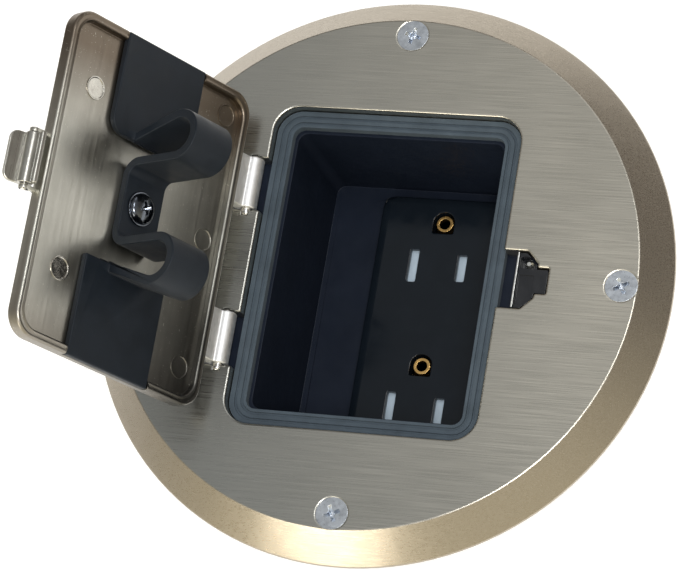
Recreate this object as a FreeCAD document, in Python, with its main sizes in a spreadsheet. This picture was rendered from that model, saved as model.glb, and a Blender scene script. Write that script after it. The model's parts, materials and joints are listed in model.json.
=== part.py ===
import FreeCAD, Part
import math
import os
import re
import Sketcher

# Round floor socket cover: a bevelled plate with a hinged lid, a press latch and a rubber cord
# guard, and a tamper-resistant duplex receptacle at the foot of the well under the opening.
#
# Frame: millimetres, +Z up.  The origin is on the round plate's axis, at its floor
# seat.  +Y runs along the lid's hinge and +X from the hinge to the latch.  The lid stands open.

Vector = FreeCAD.Vector
Rotation = FreeCAD.Rotation
Placement = FreeCAD.Placement

# ---------------------------------------------------------------------------------------------
# Driving sizes: name, value in millimetres (or degrees), meaning
# ---------------------------------------------------------------------------------------------
SIZES = [
    # cover plate
    ("plate_radius", 73.0, "outer radius of the cover plate"),
    ("plate_height", 7.4, "floor seat to the plate's top face"),
    ("rim_edge", 0.8, "upright edge below the bevel"),
    ("bevel_run", 7.5, "width of the bevel seen from above"),
    ("web_thickness", 5.0, "thickness of the plate's middle"),
    ("rim_seat", 6.5, "width of the ring that stands on the floor"),
    ("opening_half_x", 31.7, "half the opening, hinge to latch"),
    ("opening_half_y", 41.2, "half the opening, along the hinge"),
    ("opening_corner", 6.5, "corner radius of the opening"),
    ("opening_chamfer", 0.35, "broken edge round the opening"),
    ("screw_inset", 11.4, "plate's edge to the middle of a cover screw"),
    ("boss_radius", 5.5, "bosses under the plate at the cover screws"),
    ("fit_gap", 0.3, "clearance between pieces that don't move"),
    ("hole_gap", 0.05, "radial clearance of a screw in its hole"),
    ("cover_hole_gap", 0.1, "radial clearance of a cover screw in the plate"),
    # lid and hinge
    ("hinge_x", 35.4, "hinge axis, distance from the plate's axis"),
    ("hinge_rise", 1.05, "plate's top face above the hinge axis"),
    ("open_angle", 115.6, "lid's turn from closed to its open stop"),
    ("lid_length", 61.4, "lid, hinge edge to free edge"),
    ("lid_half_y", 40.8, "half the lid, along the hinge"),
    ("lid_thickness", 4.4, "lid over its rim"),
    ("lid_corner", 6.0, "corner radius of the lid"),
    ("lid_seat_drop", 1.3, "lid's rim face below the hinge axis when closed"),
    ("lid_edge_gap", 5.35, "hinge axis to the lid's hinge edge"),
    ("lid_rim", 2.3, "width of the raised rim"),
    ("lid_field_depth", 1.8, "depth of the field inside the rim"),
    ("field_corner", 4.6, "corner radius of the field"),
    ("rim_break", 0.5, "broken edges of the raised rim"),
    ("lid_top_break", 1.0, "broken edge round the lid's outer face"),
    ("knuckle_radius", 2.45, "outer radius of the hinge knuckles"),
    ("knuckle_length", 13.2, "length of a hinge knuckle"),
    ("knuckle_y", 20.2, "middle of a knuckle, from the middle of the lid"),
    ("knuckle_end_gap", 0.3, "gap at each end of a knuckle"),
    ("knuckle_back_gap", 3.5, "hinge axis to the back wall of its notch"),
    ("arm_drop", 0.6, "underside of the knuckle's arm below the hinge axis"),
    ("arm_back", 0.05, "arm's outer face below the top of the knuckle"),
    ("pin_radius", 1.3, "hinge pins"),
    ("pin_running_gap", 0.05, "radial clearance of a pin in its moving bore"),
    ("pin_long_end", 1.9, "pin beyond the knuckle, away from +Y"),
    ("pin_short_end", 0.9, "pin beyond the knuckle, towards +Y"),
    ("pin_break", 0.5, "broken ends of the hinge pins"),
    # gaskets
    ("gasket_drop", 2.7, "plate's top face above the lid gasket"),
    ("gasket_width", 4.3, "width of the lid gasket's strip"),
    ("gasket_inner_corner", 2.6, "inner corner radius of the lid gasket"),
    ("gasket_side_gap", 0.15, "gasket to the plate's opening"),
    ("groove_width", 0.6, "grooves along the gasket"),
    ("groove_depth", 0.5, "depth of those grooves"),
    ("groove_first", 1.3, "first groove, in from the gasket's outer edge"),
    ("groove_second", 2.9, "second groove, in from the gasket's outer edge"),
    ("floor_gasket_thickness", 1.2, "foam ring between plate and floor"),
    ("floor_gasket_inset", 0.9, "foam ring in from the plate's edge"),
    ("floor_gasket_width", 3.5, "width of that foam ring"),
    # tub
    ("flange_half_x", 37.0, "half the tub's flange, hinge to latch"),
    ("flange_half_y", 47.0, "half the tub's flange, along the hinge"),
    ("flange_corner", 6.0, "corner radius of the tub's flange"),
    ("keeper_shelf_reach", 9.0, "flange's shelf beyond its edge, under the keeper"),
    ("keeper_shelf_half", 11.0, "half the width of that shelf"),
    ("well_inset", 0.8, "tub's wall inside the gasket's inner edge"),
    ("well_corner", 2.4, "inner corner radius of the well"),
    ("tub_wall", 2.0, "tub's wall"),
    ("tub_floor", 2.5, "tub's floor"),
    ("face_depth", 36.3, "plate's top face above the receptacle's face"),
    ("face_rise", 4.5, "receptacle's face above the tub's floor"),
    ("receptacle_shift", 4.7, "receptacle's middle towards the latch"),
    ("receptacle_sag", 1.0, "receptacle's middle towards -Y"),
    ("ear_half_x", 11.0, "half the width of the tub's fixing ears"),
    ("ear_reach", 47.0, "tub's fixing ears, from the middle"),
    ("ear_thickness", 4.5, "tub's fixing ears"),
    ("ear_rib", 2.0, "ribs over the fixing ears"),
    # receptacle
    ("face_half_x", 16.65, "half the width of the receptacle's face"),
    ("face_half_y", 33.35, "half the height of the receptacle's face"),
    ("face_corner", 2.5, "corner radius of the receptacle's face"),
    ("face_round", 0.7, "broken edge round the face"),
    ("face_skin", 1.8, "thickness of the face over the shutters"),
    ("outlet_pitch", 38.1, "distance between the two outlets"),
    ("blade_pitch", 12.7, "distance between an outlet's two slots"),
    ("ground_rise", 11.9, "ground hole above the slots"),
    ("slot_shift", 4.0, "slots below the middle of their outlet"),
    ("slot_width", 2.3, "width of a slot"),
    ("long_slot", 8.7, "height of the taller slot"),
    ("short_slot", 7.1, "height of the shorter slot"),
    ("ground_radius", 2.75, "round top of the ground hole"),
    ("ground_foot", 2.9, "flat foot of the ground hole below its middle"),
    ("shutter_half_x", 7.9, "half the length of a shutter"),
    ("shutter_half_y", 4.75, "half the width of a shutter"),
    ("shutter_thickness", 1.8, "thickness of a shutter"),
    ("shutter_travel", 3.0, "shutter's slide"),
    ("shutter_gap", 0.3, "clearance round a shutter"),
    ("shutter_corner", 0.8, "corner radius of a shutter"),
    ("shutter_window_gap", 0.2, "clearance of a slot in its shutter"),
    ("blade_depth", 14.0, "blade wells in the housing"),
    ("contact_wall", 0.6, "wall of the ground contacts"),
    ("contact_length", 3.4, "length of the ground contacts"),
    ("contact_gap", 0.1, "clearance round a ground contact"),
    ("yoke_thickness", 1.3, "mounting strap"),
    ("yoke_half_y", 51.0, "half the length of the mounting strap"),
    ("yoke_end_half_x", 9.3, "half the width of the strap's ends"),
    ("yoke_half_x", 16.0, "half the width of the strap's middle"),
    ("yoke_window_x", 13.0, "half the width of the strap's window"),
    ("yoke_window_y", 29.0, "half the height of the strap's window"),
    ("yoke_window_corner", 1.5, "corner radius of the strap's window"),
    ("yoke_shoulder", 1.0, "strap's shoulders beyond the receptacle's face"),
    ("yoke_hole_gap", 0.2, "radial clearance of the device screws"),
    ("yoke_screw_y", 41.65, "device screws, from the middle"),
    ("housing_half_x", 16.2, "half the width of the back housing"),
    ("housing_half_y", 32.5, "half the height of the back housing"),
    ("housing_depth", 24.0, "depth of the back housing"),
    ("housing_corner", 3.5, "corner radius of the back housing"),
    ("housing_chamfer", 2.0, "broken edge at the back of the housing"),
    ("terminal_y", 12.5, "terminal screws, from the middle"),
    ("terminal_drop", 9.0, "terminal screws below the strap"),
    ("terminal_recess", 2.8, "depth of the terminal recesses"),
    ("terminal_recess_half", 5.2, "half the size of the terminal recesses"),
    # latch
    ("latch_reach", 2.5, "latch pivot beyond the lid's free edge"),
    ("latch_rise", 2.4, "latch pivot outward of the hinge axis"),
    ("latch_shift", 0.8, "middle of the latch lever towards +Y"),
    ("latch_half_y", 6.3, "half the length of the latch lever"),
    ("latch_barrel", 1.9, "outer radius of the lever's barrel"),
    ("latch_sheet", 1.0, "thickness of the lever's sheet"),
    ("latch_tab", 5.4, "lever's tab from its pivot"),
    ("latch_tab_corner", 2.2, "corner radius of the lever's tab"),
    ("latch_leg_left", 1.7, "lever's leg, side next to the lid"),
    ("latch_leg_drop", 3.6, "lever's leg below its pivot"),
    ("latch_barb", 0.45, "barb of the lever's leg"),
    ("latch_tilt", 18.0, "lever's rest tilt out from the lid"),
    ("latch_pin_radius", 0.85, "latch pin"),
    ("latch_pin_break", 0.4, "broken ends of the latch pin"),
    ("latch_pin_proud", 0.3, "latch pin beyond the lid's lugs"),
    ("lug_gap", 0.25, "lever to the lid's lugs"),
    ("lug_width", 1.0, "width of the lid's lugs"),
    ("lug_radius", 1.3, "round end of the lid's lugs"),
    # keeper
    ("keeper_pocket_reach", 8.9, "latch pocket beyond the opening"),
    ("keeper_pocket_half", 7.3, "half the width of the latch pocket"),
    ("keeper_pocket_cut", 2.9, "cut corners of the latch pocket"),
    ("keeper_nose_reach", 2.9, "nose of the latch pocket"),
    ("keeper_nose_half", 3.3, "half the width of that nose"),
    ("keeper_drop", 1.0, "plate's top face above the keeper"),
    ("keeper_strip_gap", 3.6, "opening's edge to the keeper's strip"),
    ("keeper_strip_thickness", 0.5, "keeper's strip"),
    ("keeper_strip_drop", 0.8, "plate's top face above the strip"),
    ("keeper_window_half", 1.9, "half the keeper's window, across"),
    ("keeper_window_tall", 1.5, "half the keeper's window, along the hinge"),
    ("keeper_window_corner", 0.5, "corner radius of that window"),
    ("keeper_window_y", 4.6, "middle of the keeper's window"),
    ("keeper_window_depth", 2.6, "depth of the keeper's window"),
    ("keeper_tray_low", 6.1, "keeper's tray, lower end from the middle"),
    ("keeper_tray_high", 1.4, "keeper's tray, upper end from the middle"),
    ("keeper_tray_depth", 0.5, "depth of the keeper's tray"),
    ("keeper_curl", 0.4, "curled edge of the keeper's strip"),
    ("keeper_ball", 1.0, "radius of the keeper's detent"),
    ("keeper_ball_rise", 1.6, "height of the keeper's detent"),
    ("keeper_ball_break", 0.5, "broken edge of the detent"),
    # cord guard
    ("pad_half_x", 13.3, "half the width of the guard's end pads"),
    ("pad_start", 15.6, "guard's end pads, inner edge from the middle"),
    ("pad_thickness", 1.7, "thickness of the end pads"),
    ("pad_corner", 4.0, "rounded inner corners of the end pads"),
    ("strap_half_x", 8.5, "half the width of the guard's strap"),
    ("strap_thickness", 2.2, "thickness of the strap"),
    ("loop_leg", 10.1, "loop's inner leg from the middle"),
    ("loop_radius", 5.4, "middle radius of a loop's crown"),
    ("loop_height", 16.0, "centre of a loop's crown over the lid's field"),
    ("loop_foot_radius", 3.3, "bend at the foot of a loop's inner leg"),
    ("loop_end", 16.35, "foot of a loop's outer leg from the middle"),
    ("washer_radius", 4.2, "washer under the guard's screw"),
    ("washer_thickness", 0.6, "washer under the guard's screw"),
    # screws
    ("cover_screw_head", 4.05, "head radius of the cover screws"),
    ("cover_screw_neck", 2.3, "plain neck of the cover screws, through the plate"),
    ("cover_screw_shank", 2.0, "shank radius of the cover screws"),
    ("cover_screw_length", 21.0, "length of the cover screws"),
    ("cover_screw_sink", 0.1, "cover screws' heads below the plate's top face"),
    ("tub_screw_head", 2.6, "head radius of the tub's screws"),
    ("tub_screw_height", 1.7, "head height of the tub's screws"),
    ("tub_screw_shank", 1.2, "shank radius of the tub's screws"),
    ("tub_screw_length", 5.6, "length of the tub's screws"),
    ("tub_screw_inset", 4.6, "tub's screws in from the flange's sides"),
    ("tub_screw_end_inset", 3.2, "tub's screws in from the flange's ends"),
    ("yoke_screw_head", 3.3, "head radius of the strap's screws"),
    ("yoke_screw_height", 2.0, "head height of the strap's screws"),
    ("yoke_screw_shank", 1.7, "shank radius of the strap's screws"),
    ("yoke_screw_length", 5.2, "length of the strap's screws"),
    ("terminal_screw_head", 3.9, "head radius of the terminal screws"),
    ("terminal_screw_height", 2.2, "head height of the terminal screws"),
    ("terminal_screw_shank", 1.9, "shank radius of the terminal screws"),
    ("terminal_screw_length", 5.0, "length of the terminal screws"),
    ("guard_screw_head", 3.1, "head radius of the guard's screw"),
    ("guard_screw_height", 1.9, "head height of the guard's screw"),
    ("guard_screw_shank", 1.4, "shank radius of the guard's screw"),
    ("guard_screw_length", 4.2, "length of the guard's screw"),
]

# Drives of the screws, as shares of their heads, and how the visible ones were left turned
HEAD_BREAK = 0.45
DRIVE_REACH = 0.56
DRIVE_WIDTH = 0.13
DRIVE_DEPTH = 0.32
COVER_DRIVE_ANGLES = (20, 37, 54, 71)
GUARD_DRIVE_ANGLE = 20

document = FreeCAD.newDocument("FloorSocketBox")
sheet = document.addObject("Spreadsheet::Sheet", "Sizes")
for row, (alias, value, meaning) in enumerate(SIZES, start=1):
    sheet.set("A%d" % row, meaning)
    sheet.set("B%d" % row, str(value))
    sheet.setAlias("B%d" % row, alias)
document.recompute()
ALIASES = {entry[0] for entry in SIZES}


def bound(expression):
    """Write each size in an expression as a reference to the sheet."""
    def name(match):
        word = match.group(0)
        return "Sizes." + word if word in ALIASES else word
    return re.sub(r"[a-z][a-z_]+", name, expression)


def number(expression):
    """Value of an expression at the present sizes."""
    return float(sheet.evalExpression(bound(expression)))


def bind(thing, **properties):
    """Tie properties of a document object to expressions of the sheet's sizes."""
    for path, expression in properties.items():
        setattr(thing, path, number(expression))
        thing.setExpression(path, bound(expression))


# ---------------------------------------------------------------------------------------------
# Sketches and features
# ---------------------------------------------------------------------------------------------
def plane(body, role):
    """One of a body's own origin planes or axes."""
    return [part for part in body.Origin.OriginFeatures if part.Role == role][0]


class Outline:
    """A sketch on one of its body's planes, with every point tied to the sheet."""

    def __init__(self, body, role, name, lift="0"):
        self.sketch = body.newObject("Sketcher::SketchObject", name)
        self.sketch.AttachmentSupport = [(plane(body, role), "")]
        self.sketch.MapMode = "FlatFace"
        self.sketch.AttachmentOffset = Placement(Vector(0, 0, number(lift)), Rotation())
        self.sketch.setExpression("AttachmentOffset.Base.z", bound(lift))

    def hold(self, kind, element, point, expression):
        """Fix one coordinate of a point, measured from the sketch's origin."""
        rule = Sketcher.Constraint(kind, -1, 1, element, point, number(expression))
        index = self.sketch.addConstraint(rule)
        self.sketch.setExpression("Constraints[%d]" % index, bound(expression))

    def radius(self, element, expression):
        """Fix the radius of a circle or an arc."""
        rule = Sketcher.Constraint("Radius", element, number(expression))
        index = self.sketch.addConstraint(rule)
        self.sketch.setExpression("Constraints[%d]" % index, bound(expression))

    def polygon(self, corners):
        """Closed chain of straight lines through corners given as expression pairs."""
        spots = [Vector(number(x), number(y), 0) for x, y in corners]
        first = self.sketch.GeometryCount
        for here, there in zip(spots, spots[1:] + spots[:1]):
            self.sketch.addGeometry(Part.LineSegment(here, there))
        for index, (x, y) in enumerate(corners):
            following = first + (index + 1) % len(corners)
            meet = Sketcher.Constraint("Coincident", first + index, 2, following, 1)
            self.sketch.addConstraint(meet)
            self.hold("DistanceX", first + index, 1, x)
            self.hold("DistanceY", first + index, 1, y)
        return self

    def rectangle(self, left, right, low, high):
        """Upright rectangle between four expressions."""
        return self.polygon([(left, low), (right, low), (right, high), (left, high)])

    def circle(self, x, y, radius):
        """Full circle."""
        spot = Vector(number(x), number(y), 0)
        index = self.sketch.addGeometry(Part.Circle(spot, Vector(0, 0, 1), number(radius)))
        self.hold("DistanceX", index, 3, x)
        self.hold("DistanceY", index, 3, y)
        self.radius(index, radius)
        return self

    def rounded(self, x, y, half_x, half_y, radius):
        """Rectangle about a middle point, with round corners."""
        middle = Vector(number(x), number(y), 0)
        bend = number(radius)
        run_x = number(half_x) - bend
        run_y = number(half_y) - bend
        first = self.sketch.GeometryCount
        quarter = math.pi / 2
        signs = [(1, 1), (-1, 1), (-1, -1), (1, -1)]
        for turn, (side_x, side_y) in enumerate(signs):
            centre = middle + Vector(side_x * run_x, side_y * run_y, 0)
            ring = Part.Circle(centre, Vector(0, 0, 1), bend)
            self.sketch.addGeometry(Part.ArcOfCircle(ring, turn * quarter, (turn + 1) * quarter))
        for turn in range(4):
            here = self.sketch.getPoint(first + turn, 2)
            there = self.sketch.getPoint(first + (turn + 1) % 4, 1)
            line = self.sketch.addGeometry(Part.LineSegment(here, there))
            following = first + (turn + 1) % 4
            self.sketch.addConstraint(Sketcher.Constraint("Coincident", first + turn, 2, line, 1))
            self.sketch.addConstraint(Sketcher.Constraint("Coincident", line, 2, following, 1))
        for turn, (side_x, side_y) in enumerate(signs):
            arc = first + turn
            sign_x = "+" if side_x > 0 else "-"
            sign_y = "+" if side_y > 0 else "-"
            self.hold("DistanceX", arc, 3, "%s %s (%s - (%s))" % (x, sign_x, half_x, radius))
            self.hold("DistanceY", arc, 3, "%s %s (%s - (%s))" % (y, sign_y, half_y, radius))
            self.radius(arc, radius)
            level = ("Horizontal", "Vertical") if turn % 2 == 0 else ("Vertical", "Horizontal")
            self.sketch.addConstraint(Sketcher.Constraint(level[0], arc, 3, arc, 1))
            self.sketch.addConstraint(Sketcher.Constraint(level[1], arc, 3, arc, 2))
        return self


def new_body(label):
    """Empty body that will become the node of that name."""
    body = document.addObject("PartDesign::Body", label)
    body.Label = label
    return body


def extrude(body, outline, length, symmetric=False, backward=False):
    """Pad an outline."""
    pad = body.newObject("PartDesign::Pad", "Pad")
    pad.Profile = outline.sketch
    bind(pad, Length=length)
    pad.Midplane = symmetric
    pad.Reversed = backward
    document.recompute()
    return pad


def cut(body, outline, length, symmetric=False, backward=False, through=False):
    """Pocket an outline, and see that it took something away."""
    before = body.Shape.Volume
    pocket = body.newObject("PartDesign::Pocket", "Pocket")
    pocket.Profile = outline.sketch
    if through:
        pocket.Type = "ThroughAll"
    else:
        bind(pocket, Length=length)
    pocket.Midplane = symmetric
    pocket.Reversed = backward
    document.recompute()
    if body.Shape.Volume > before - 0.001:
        raise RuntimeError("%s: %s removed nothing" % (body.Label, outline.sketch.Name))
    return pocket


def revolve(body, outline):
    """Turn an outline on an upright plane about its own vertical axis."""
    turned = body.newObject("PartDesign::Revolution", "Revolution")
    turned.Profile = outline.sketch
    turned.ReferenceAxis = (outline.sketch, ["V_Axis"])
    turned.Angle = 360.0
    document.recompute()
    return turned


def bore(body, role, x, y, lift, radius, depth):
    """Round hole from a point of one of the body's planes along that plane's normal."""
    before = body.Shape.Volume
    drill = body.newObject("PartDesign::SubtractiveCylinder", "Bore")
    drill.AttachmentSupport = [(plane(body, role), "")]
    drill.MapMode = "FlatFace"
    bind(drill, Radius=radius, Height=depth)
    drill.AttachmentOffset = Placement(Vector(number(x), number(y), number(lift)), Rotation())
    drill.setExpression("AttachmentOffset.Base.x", bound(x))
    drill.setExpression("AttachmentOffset.Base.y", bound(y))
    drill.setExpression("AttachmentOffset.Base.z", bound(lift))
    document.recompute()
    if body.Shape.Volume > before - 0.001:
        raise RuntimeError("%s: a bore removed nothing" % body.Label)
    return drill


def repeat_round(body, features, count):
    """Repeat features about the body's upright axis."""
    pattern = body.newObject("PartDesign::PolarPattern", "Round")
    pattern.Originals = features
    pattern.Axis = (plane(body, "Z_Axis"), [""])
    pattern.Angle = 360.0
    pattern.Occurrences = count
    body.Tip = pattern
    document.recompute()
    return pattern


def mirror(body, features, role):
    """Repeat features across one of the body's planes."""
    copy = body.newObject("PartDesign::Mirrored", "Mirror")
    copy.Originals = features
    copy.MirrorPlane = (plane(body, role), [""])
    body.Tip = copy
    document.recompute()
    return copy


def edges_where(body, test):
    """Names of the body's edges whose end points and middle all pass a test."""
    names = []
    for index, edge in enumerate(body.Shape.Edges, start=1):
        half = (edge.FirstParameter + edge.LastParameter) / 2
        points = [edge.valueAt(edge.FirstParameter), edge.valueAt(half), edge.valueAt(edge.LastParameter)]
        if all(test(point) for point in points):
            names.append("Edge%d" % index)
    return names


def dress(body, kind, size, test):
    """Fillet or chamfer the edges that pass a test."""
    base = body.Tip
    feature = body.newObject("PartDesign::" + kind, kind)
    feature.Base = (base, edges_where(body, test))
    bind(feature, **{"Radius" if kind == "Fillet" else "Size": size})
    document.recompute()
    return feature


def near(value, expression):
    """Whether a coordinate lies on a plane given by an expression."""
    return abs(value - number(expression)) < 1e-4


# ---------------------------------------------------------------------------------------------
# Places that several pieces share
# ---------------------------------------------------------------------------------------------
SCREW_CIRCLE = "(plate_radius - screw_inset)"
RECESS = "(plate_height - web_thickness)"
RECESS_RADIUS = "(plate_radius - rim_seat)"
HINGE_Z = "(plate_height - hinge_rise)"
GASKET_TOP = "(plate_height - gasket_drop)"
GASKET_OUT_X = "(opening_half_x - gasket_side_gap)"
GASKET_OUT_Y = "(opening_half_y - gasket_side_gap)"
WELL_X = "(opening_half_x - gasket_side_gap - gasket_width - well_inset)"
WELL_Y = "(opening_half_y - gasket_side_gap - gasket_width - well_inset)"
FACE_Z = "(plate_height - face_depth)"
WELL_Z = "(plate_height - face_depth - face_rise)"
YOKE_Z = "(plate_height - face_depth - face_rise - tub_floor)"
HOUSING_Z = "(plate_height - face_depth - face_rise - tub_floor - yoke_thickness)"
LID_TOP = "(lid_thickness - lid_seat_drop)"
LID_FIELD = "(lid_field_depth - lid_seat_drop)"
LID_MIDDLE = "(lid_edge_gap + lid_length / 2)"
LID_END = "(lid_edge_gap + lid_length)"
PIVOT_X = "(lid_edge_gap + lid_length + latch_reach)"
BED_Z = "(plate_height - face_depth - face_skin - 2 * shutter_gap - shutter_thickness)"
OUTLETS = {"upper": "(outlet_pitch / 2)", "lower": "(-outlet_pitch / 2)"}

# The lid's own frame has its origin on the hinge axis, +X along the closed lid and +Z outward.
lid_frame = Placement(Vector(-number("hinge_x"), 0, number(HINGE_Z)),
                      Rotation(Vector(0, 1, 0), -number("open_angle")))
latch_pivot = Vector(number(PIVOT_X), number("latch_shift"), number("latch_rise"))
latch_frame = lid_frame.multiply(Placement(latch_pivot,
                                           Rotation(Vector(0, 1, 0), -number("latch_tilt"))))
guard_frame = lid_frame.multiply(Placement(Vector(number(LID_MIDDLE), 0, number(LID_FIELD)),
                                           Rotation(Vector(0, 1, 0), 180)))
receptacle_frame = Placement(Vector(number("receptacle_shift"), -number("receptacle_sag"), 0), Rotation())


# ---------------------------------------------------------------------------------------------
# Cover plate, gaskets and tub
# ---------------------------------------------------------------------------------------------
def make_cover_plate():
    """Bevelled disc with its opening, hinge notches, latch pocket and screw bosses."""
    body = new_body("cover_plate")
    profile = Outline(body, "XZ_Plane", "PlateProfile").polygon([
        ("0", RECESS), (RECESS_RADIUS, RECESS), (RECESS_RADIUS, "0"), ("plate_radius", "0"),
        ("plate_radius", "rim_edge"), ("plate_radius - bevel_run", "plate_height"),
        ("0", "plate_height")])
    revolve(body, profile)
    boss = extrude(body, Outline(body, "XY_Plane", "Boss").circle(SCREW_CIRCLE, "0", "boss_radius"), RECESS)
    repeat_round(body, [boss], 4)
    opening = Outline(body, "XY_Plane", "Opening", "plate_height")
    opening.rounded("0", "0", "opening_half_x", "opening_half_y", "opening_corner")
    cut(body, opening, "0", through=True)
    notch_half = "(knuckle_length / 2 + knuckle_end_gap)"
    notches = Outline(body, "XY_Plane", "HingeNotches", "plate_height")
    for side in ("", "-"):
        notches.rectangle("-hinge_x - knuckle_back_gap", "-opening_half_x + opening_corner",
                          "%sknuckle_y - %s" % (side, notch_half),
                          "%sknuckle_y + %s" % (side, notch_half))
    cut(body, notches, "0", through=True)
    pocket = Outline(body, "XY_Plane", "LatchPocket", "plate_height")
    pocket.polygon(pocket_corners("0", "-opening_corner"))
    cut(body, pocket, "0", through=True)
    inside = number(SCREW_CIRCLE)
    dress(body, "Chamfer", "opening_chamfer", lambda p: near(p.z, "plate_height")
          and Vector(p.x, p.y, 0).Length < inside)
    for side in ("", "-"):
        start = "-(%sknuckle_y + knuckle_length / 2 + pin_short_end)" % side
        bore(body, "XZ_Plane", "-hinge_x", HINGE_Z, start, "pin_radius + hole_gap / 2",
             "knuckle_length + pin_short_end + pin_long_end")
    hole = bore(body, "XY_Plane", SCREW_CIRCLE, "0", "0", "cover_screw_neck + cover_hole_gap",
                "plate_height")
    sink = body.newObject("PartDesign::SubtractiveCone", "Countersink")
    sink.AttachmentSupport = [(plane(body, "XY_Plane"), "")]
    sink.MapMode = "FlatFace"
    bind(sink, Radius1="cover_screw_neck", Radius2="cover_screw_head + cover_hole_gap",
         Height="cover_screw_head + cover_hole_gap - cover_screw_neck")
    foot = "plate_height + cover_screw_neck - cover_screw_head - cover_hole_gap"
    sink.AttachmentOffset = Placement(Vector(number(SCREW_CIRCLE), 0, number(foot)), Rotation())
    sink.setExpression("AttachmentOffset.Base.x", bound(SCREW_CIRCLE))
    sink.setExpression("AttachmentOffset.Base.z", bound(foot))
    repeat_round(body, [hole, sink], 4)
    for x, y in tub_screw_spots():
        bore(body, "XY_Plane", x, y, RECESS, "tub_screw_shank + hole_gap",
             "tub_screw_length - %s + fit_gap" % RECESS)


def pocket_corners(shrink, start):
    """Plan of the latch pocket, or of a piece that fits it with a gap all round."""
    left = "opening_half_x + (%s)" % start
    right = "opening_half_x + keeper_pocket_reach - %s" % shrink
    nose = "opening_half_x + keeper_pocket_reach + keeper_nose_reach - %s" % shrink
    half = "(keeper_pocket_half - %s)" % shrink
    nose_half = "(keeper_nose_half - %s)" % shrink
    upper = [(right + " - keeper_pocket_cut", half), (right, half + " - keeper_pocket_cut"),
             (right, nose_half), (nose, nose_half)]
    lower = [(x, "-(%s)" % y) for x, y in reversed(upper)]
    return [(left, half)] + upper + lower + [(left, "-" + half)]


def tub_screw_spots():
    """Plan positions of the four screws that hold the tub to the plate."""
    reach_x = "(flange_half_x - tub_screw_inset)"
    reach_y = "(flange_half_y - tub_screw_end_inset)"
    return [(a + reach_x, b + reach_y) for a in ("", "-") for b in ("", "-")]


def make_floor_gasket():
    """Foam ring between the plate's rim and the floor."""
    body = new_body("floor_gasket")
    ring = Outline(body, "XY_Plane", "Ring")
    ring.circle("0", "0", "plate_radius - floor_gasket_inset")
    ring.circle("0", "0", "plate_radius - floor_gasket_inset - floor_gasket_width")
    extrude(body, ring, "floor_gasket_thickness", backward=True)


def make_lid_gasket():
    """Ribbed strip that lies on the tub's flange inside the opening."""
    body = new_body("lid_gasket")
    strip = Outline(body, "XY_Plane", "Strip", RECESS)
    strip.rounded("0", "0", GASKET_OUT_X, GASKET_OUT_Y, "opening_corner - gasket_side_gap")
    strip.rounded("0", "0", GASKET_OUT_X + " - gasket_width", GASKET_OUT_Y + " - gasket_width",
                  "gasket_inner_corner")
    extrude(body, strip, GASKET_TOP + " - " + RECESS)
    outer_corner = "(opening_corner - gasket_side_gap)"
    for start in ("groove_first", "groove_second"):
        groove = Outline(body, "XY_Plane", "Groove", GASKET_TOP)
        for inset in (start, "(%s + groove_width)" % start):
            share = "%s / gasket_width" % inset
            corner = "%s - (%s - gasket_inner_corner) * %s" % (outer_corner, outer_corner, share)
            groove.rounded("0", "0", GASKET_OUT_X + " - " + inset, GASKET_OUT_Y + " - " + inset, corner)
        cut(body, groove, "groove_depth")


def make_recess_tub():
    """Black well with its flange, its floor window and the ears that carry the receptacle."""
    body = new_body("recess_tub")
    flange = Outline(body, "XY_Plane", "Flange")
    flange.rounded("0", "0", "flange_half_x", "flange_half_y", "flange_corner")
    extrude(body, flange, RECESS)
    shelf = Outline(body, "XY_Plane", "Shelf")
    shelf.rectangle("0", "flange_half_x + keeper_shelf_reach",
                    "-keeper_shelf_half", "keeper_shelf_half")
    extrude(body, shelf, RECESS)
    shell = Outline(body, "XY_Plane", "Shell", WELL_Z + " - tub_floor")
    shell.rounded("0", "0", WELL_X + " + tub_wall", WELL_Y + " + tub_wall", "well_corner + tub_wall")
    extrude(body, shell, "-" + WELL_Z + " + tub_floor")
    ears = Outline(body, "XY_Plane", "Ears", WELL_Z + " - tub_floor")
    ears.rectangle("receptacle_shift - ear_half_x", "receptacle_shift + ear_half_x",
                   "-ear_reach - receptacle_sag", "ear_reach - receptacle_sag")
    extrude(body, ears, "ear_thickness")
    ribs = Outline(body, "YZ_Plane", "Ribs", "receptacle_shift")
    low = WELL_Z + " - tub_floor + ear_thickness"
    for side in ("", "-"):
        wall = "%s(%s + tub_wall)" % (side, WELL_Y)
        tip = "(%sear_reach - receptacle_sag)" % side
        crest = "%s + %s(%s - %s)" % (low, side, tip, wall)
        ribs.polygon([(wall, low), (tip, low), (wall, crest)])
    rib = extrude(body, ribs, "ear_rib", symmetric=True)
    rib.setExpression("Length", bound("ear_rib"))
    well = Outline(body, "XY_Plane", "Well", RECESS)
    well.rounded("0", "0", WELL_X, WELL_Y, "well_corner")
    cut(body, well, RECESS + " - " + WELL_Z)
    window = Outline(body, "XY_Plane", "Window", WELL_Z)
    window.rounded("receptacle_shift", "(-receptacle_sag)", "face_half_x + fit_gap / 2",
                   "face_half_y + fit_gap / 2", "face_corner")
    cut(body, window, "tub_floor")
    for side in ("", "-"):
        bore(body, "XY_Plane", "receptacle_shift", side + "yoke_screw_y - receptacle_sag", YOKE_Z,
             "yoke_screw_shank + hole_gap", "ear_thickness")
    for x, y in tub_screw_spots():
        bore(body, "XY_Plane", x, y, "0", "tub_screw_shank + hole_gap", RECESS)


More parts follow.
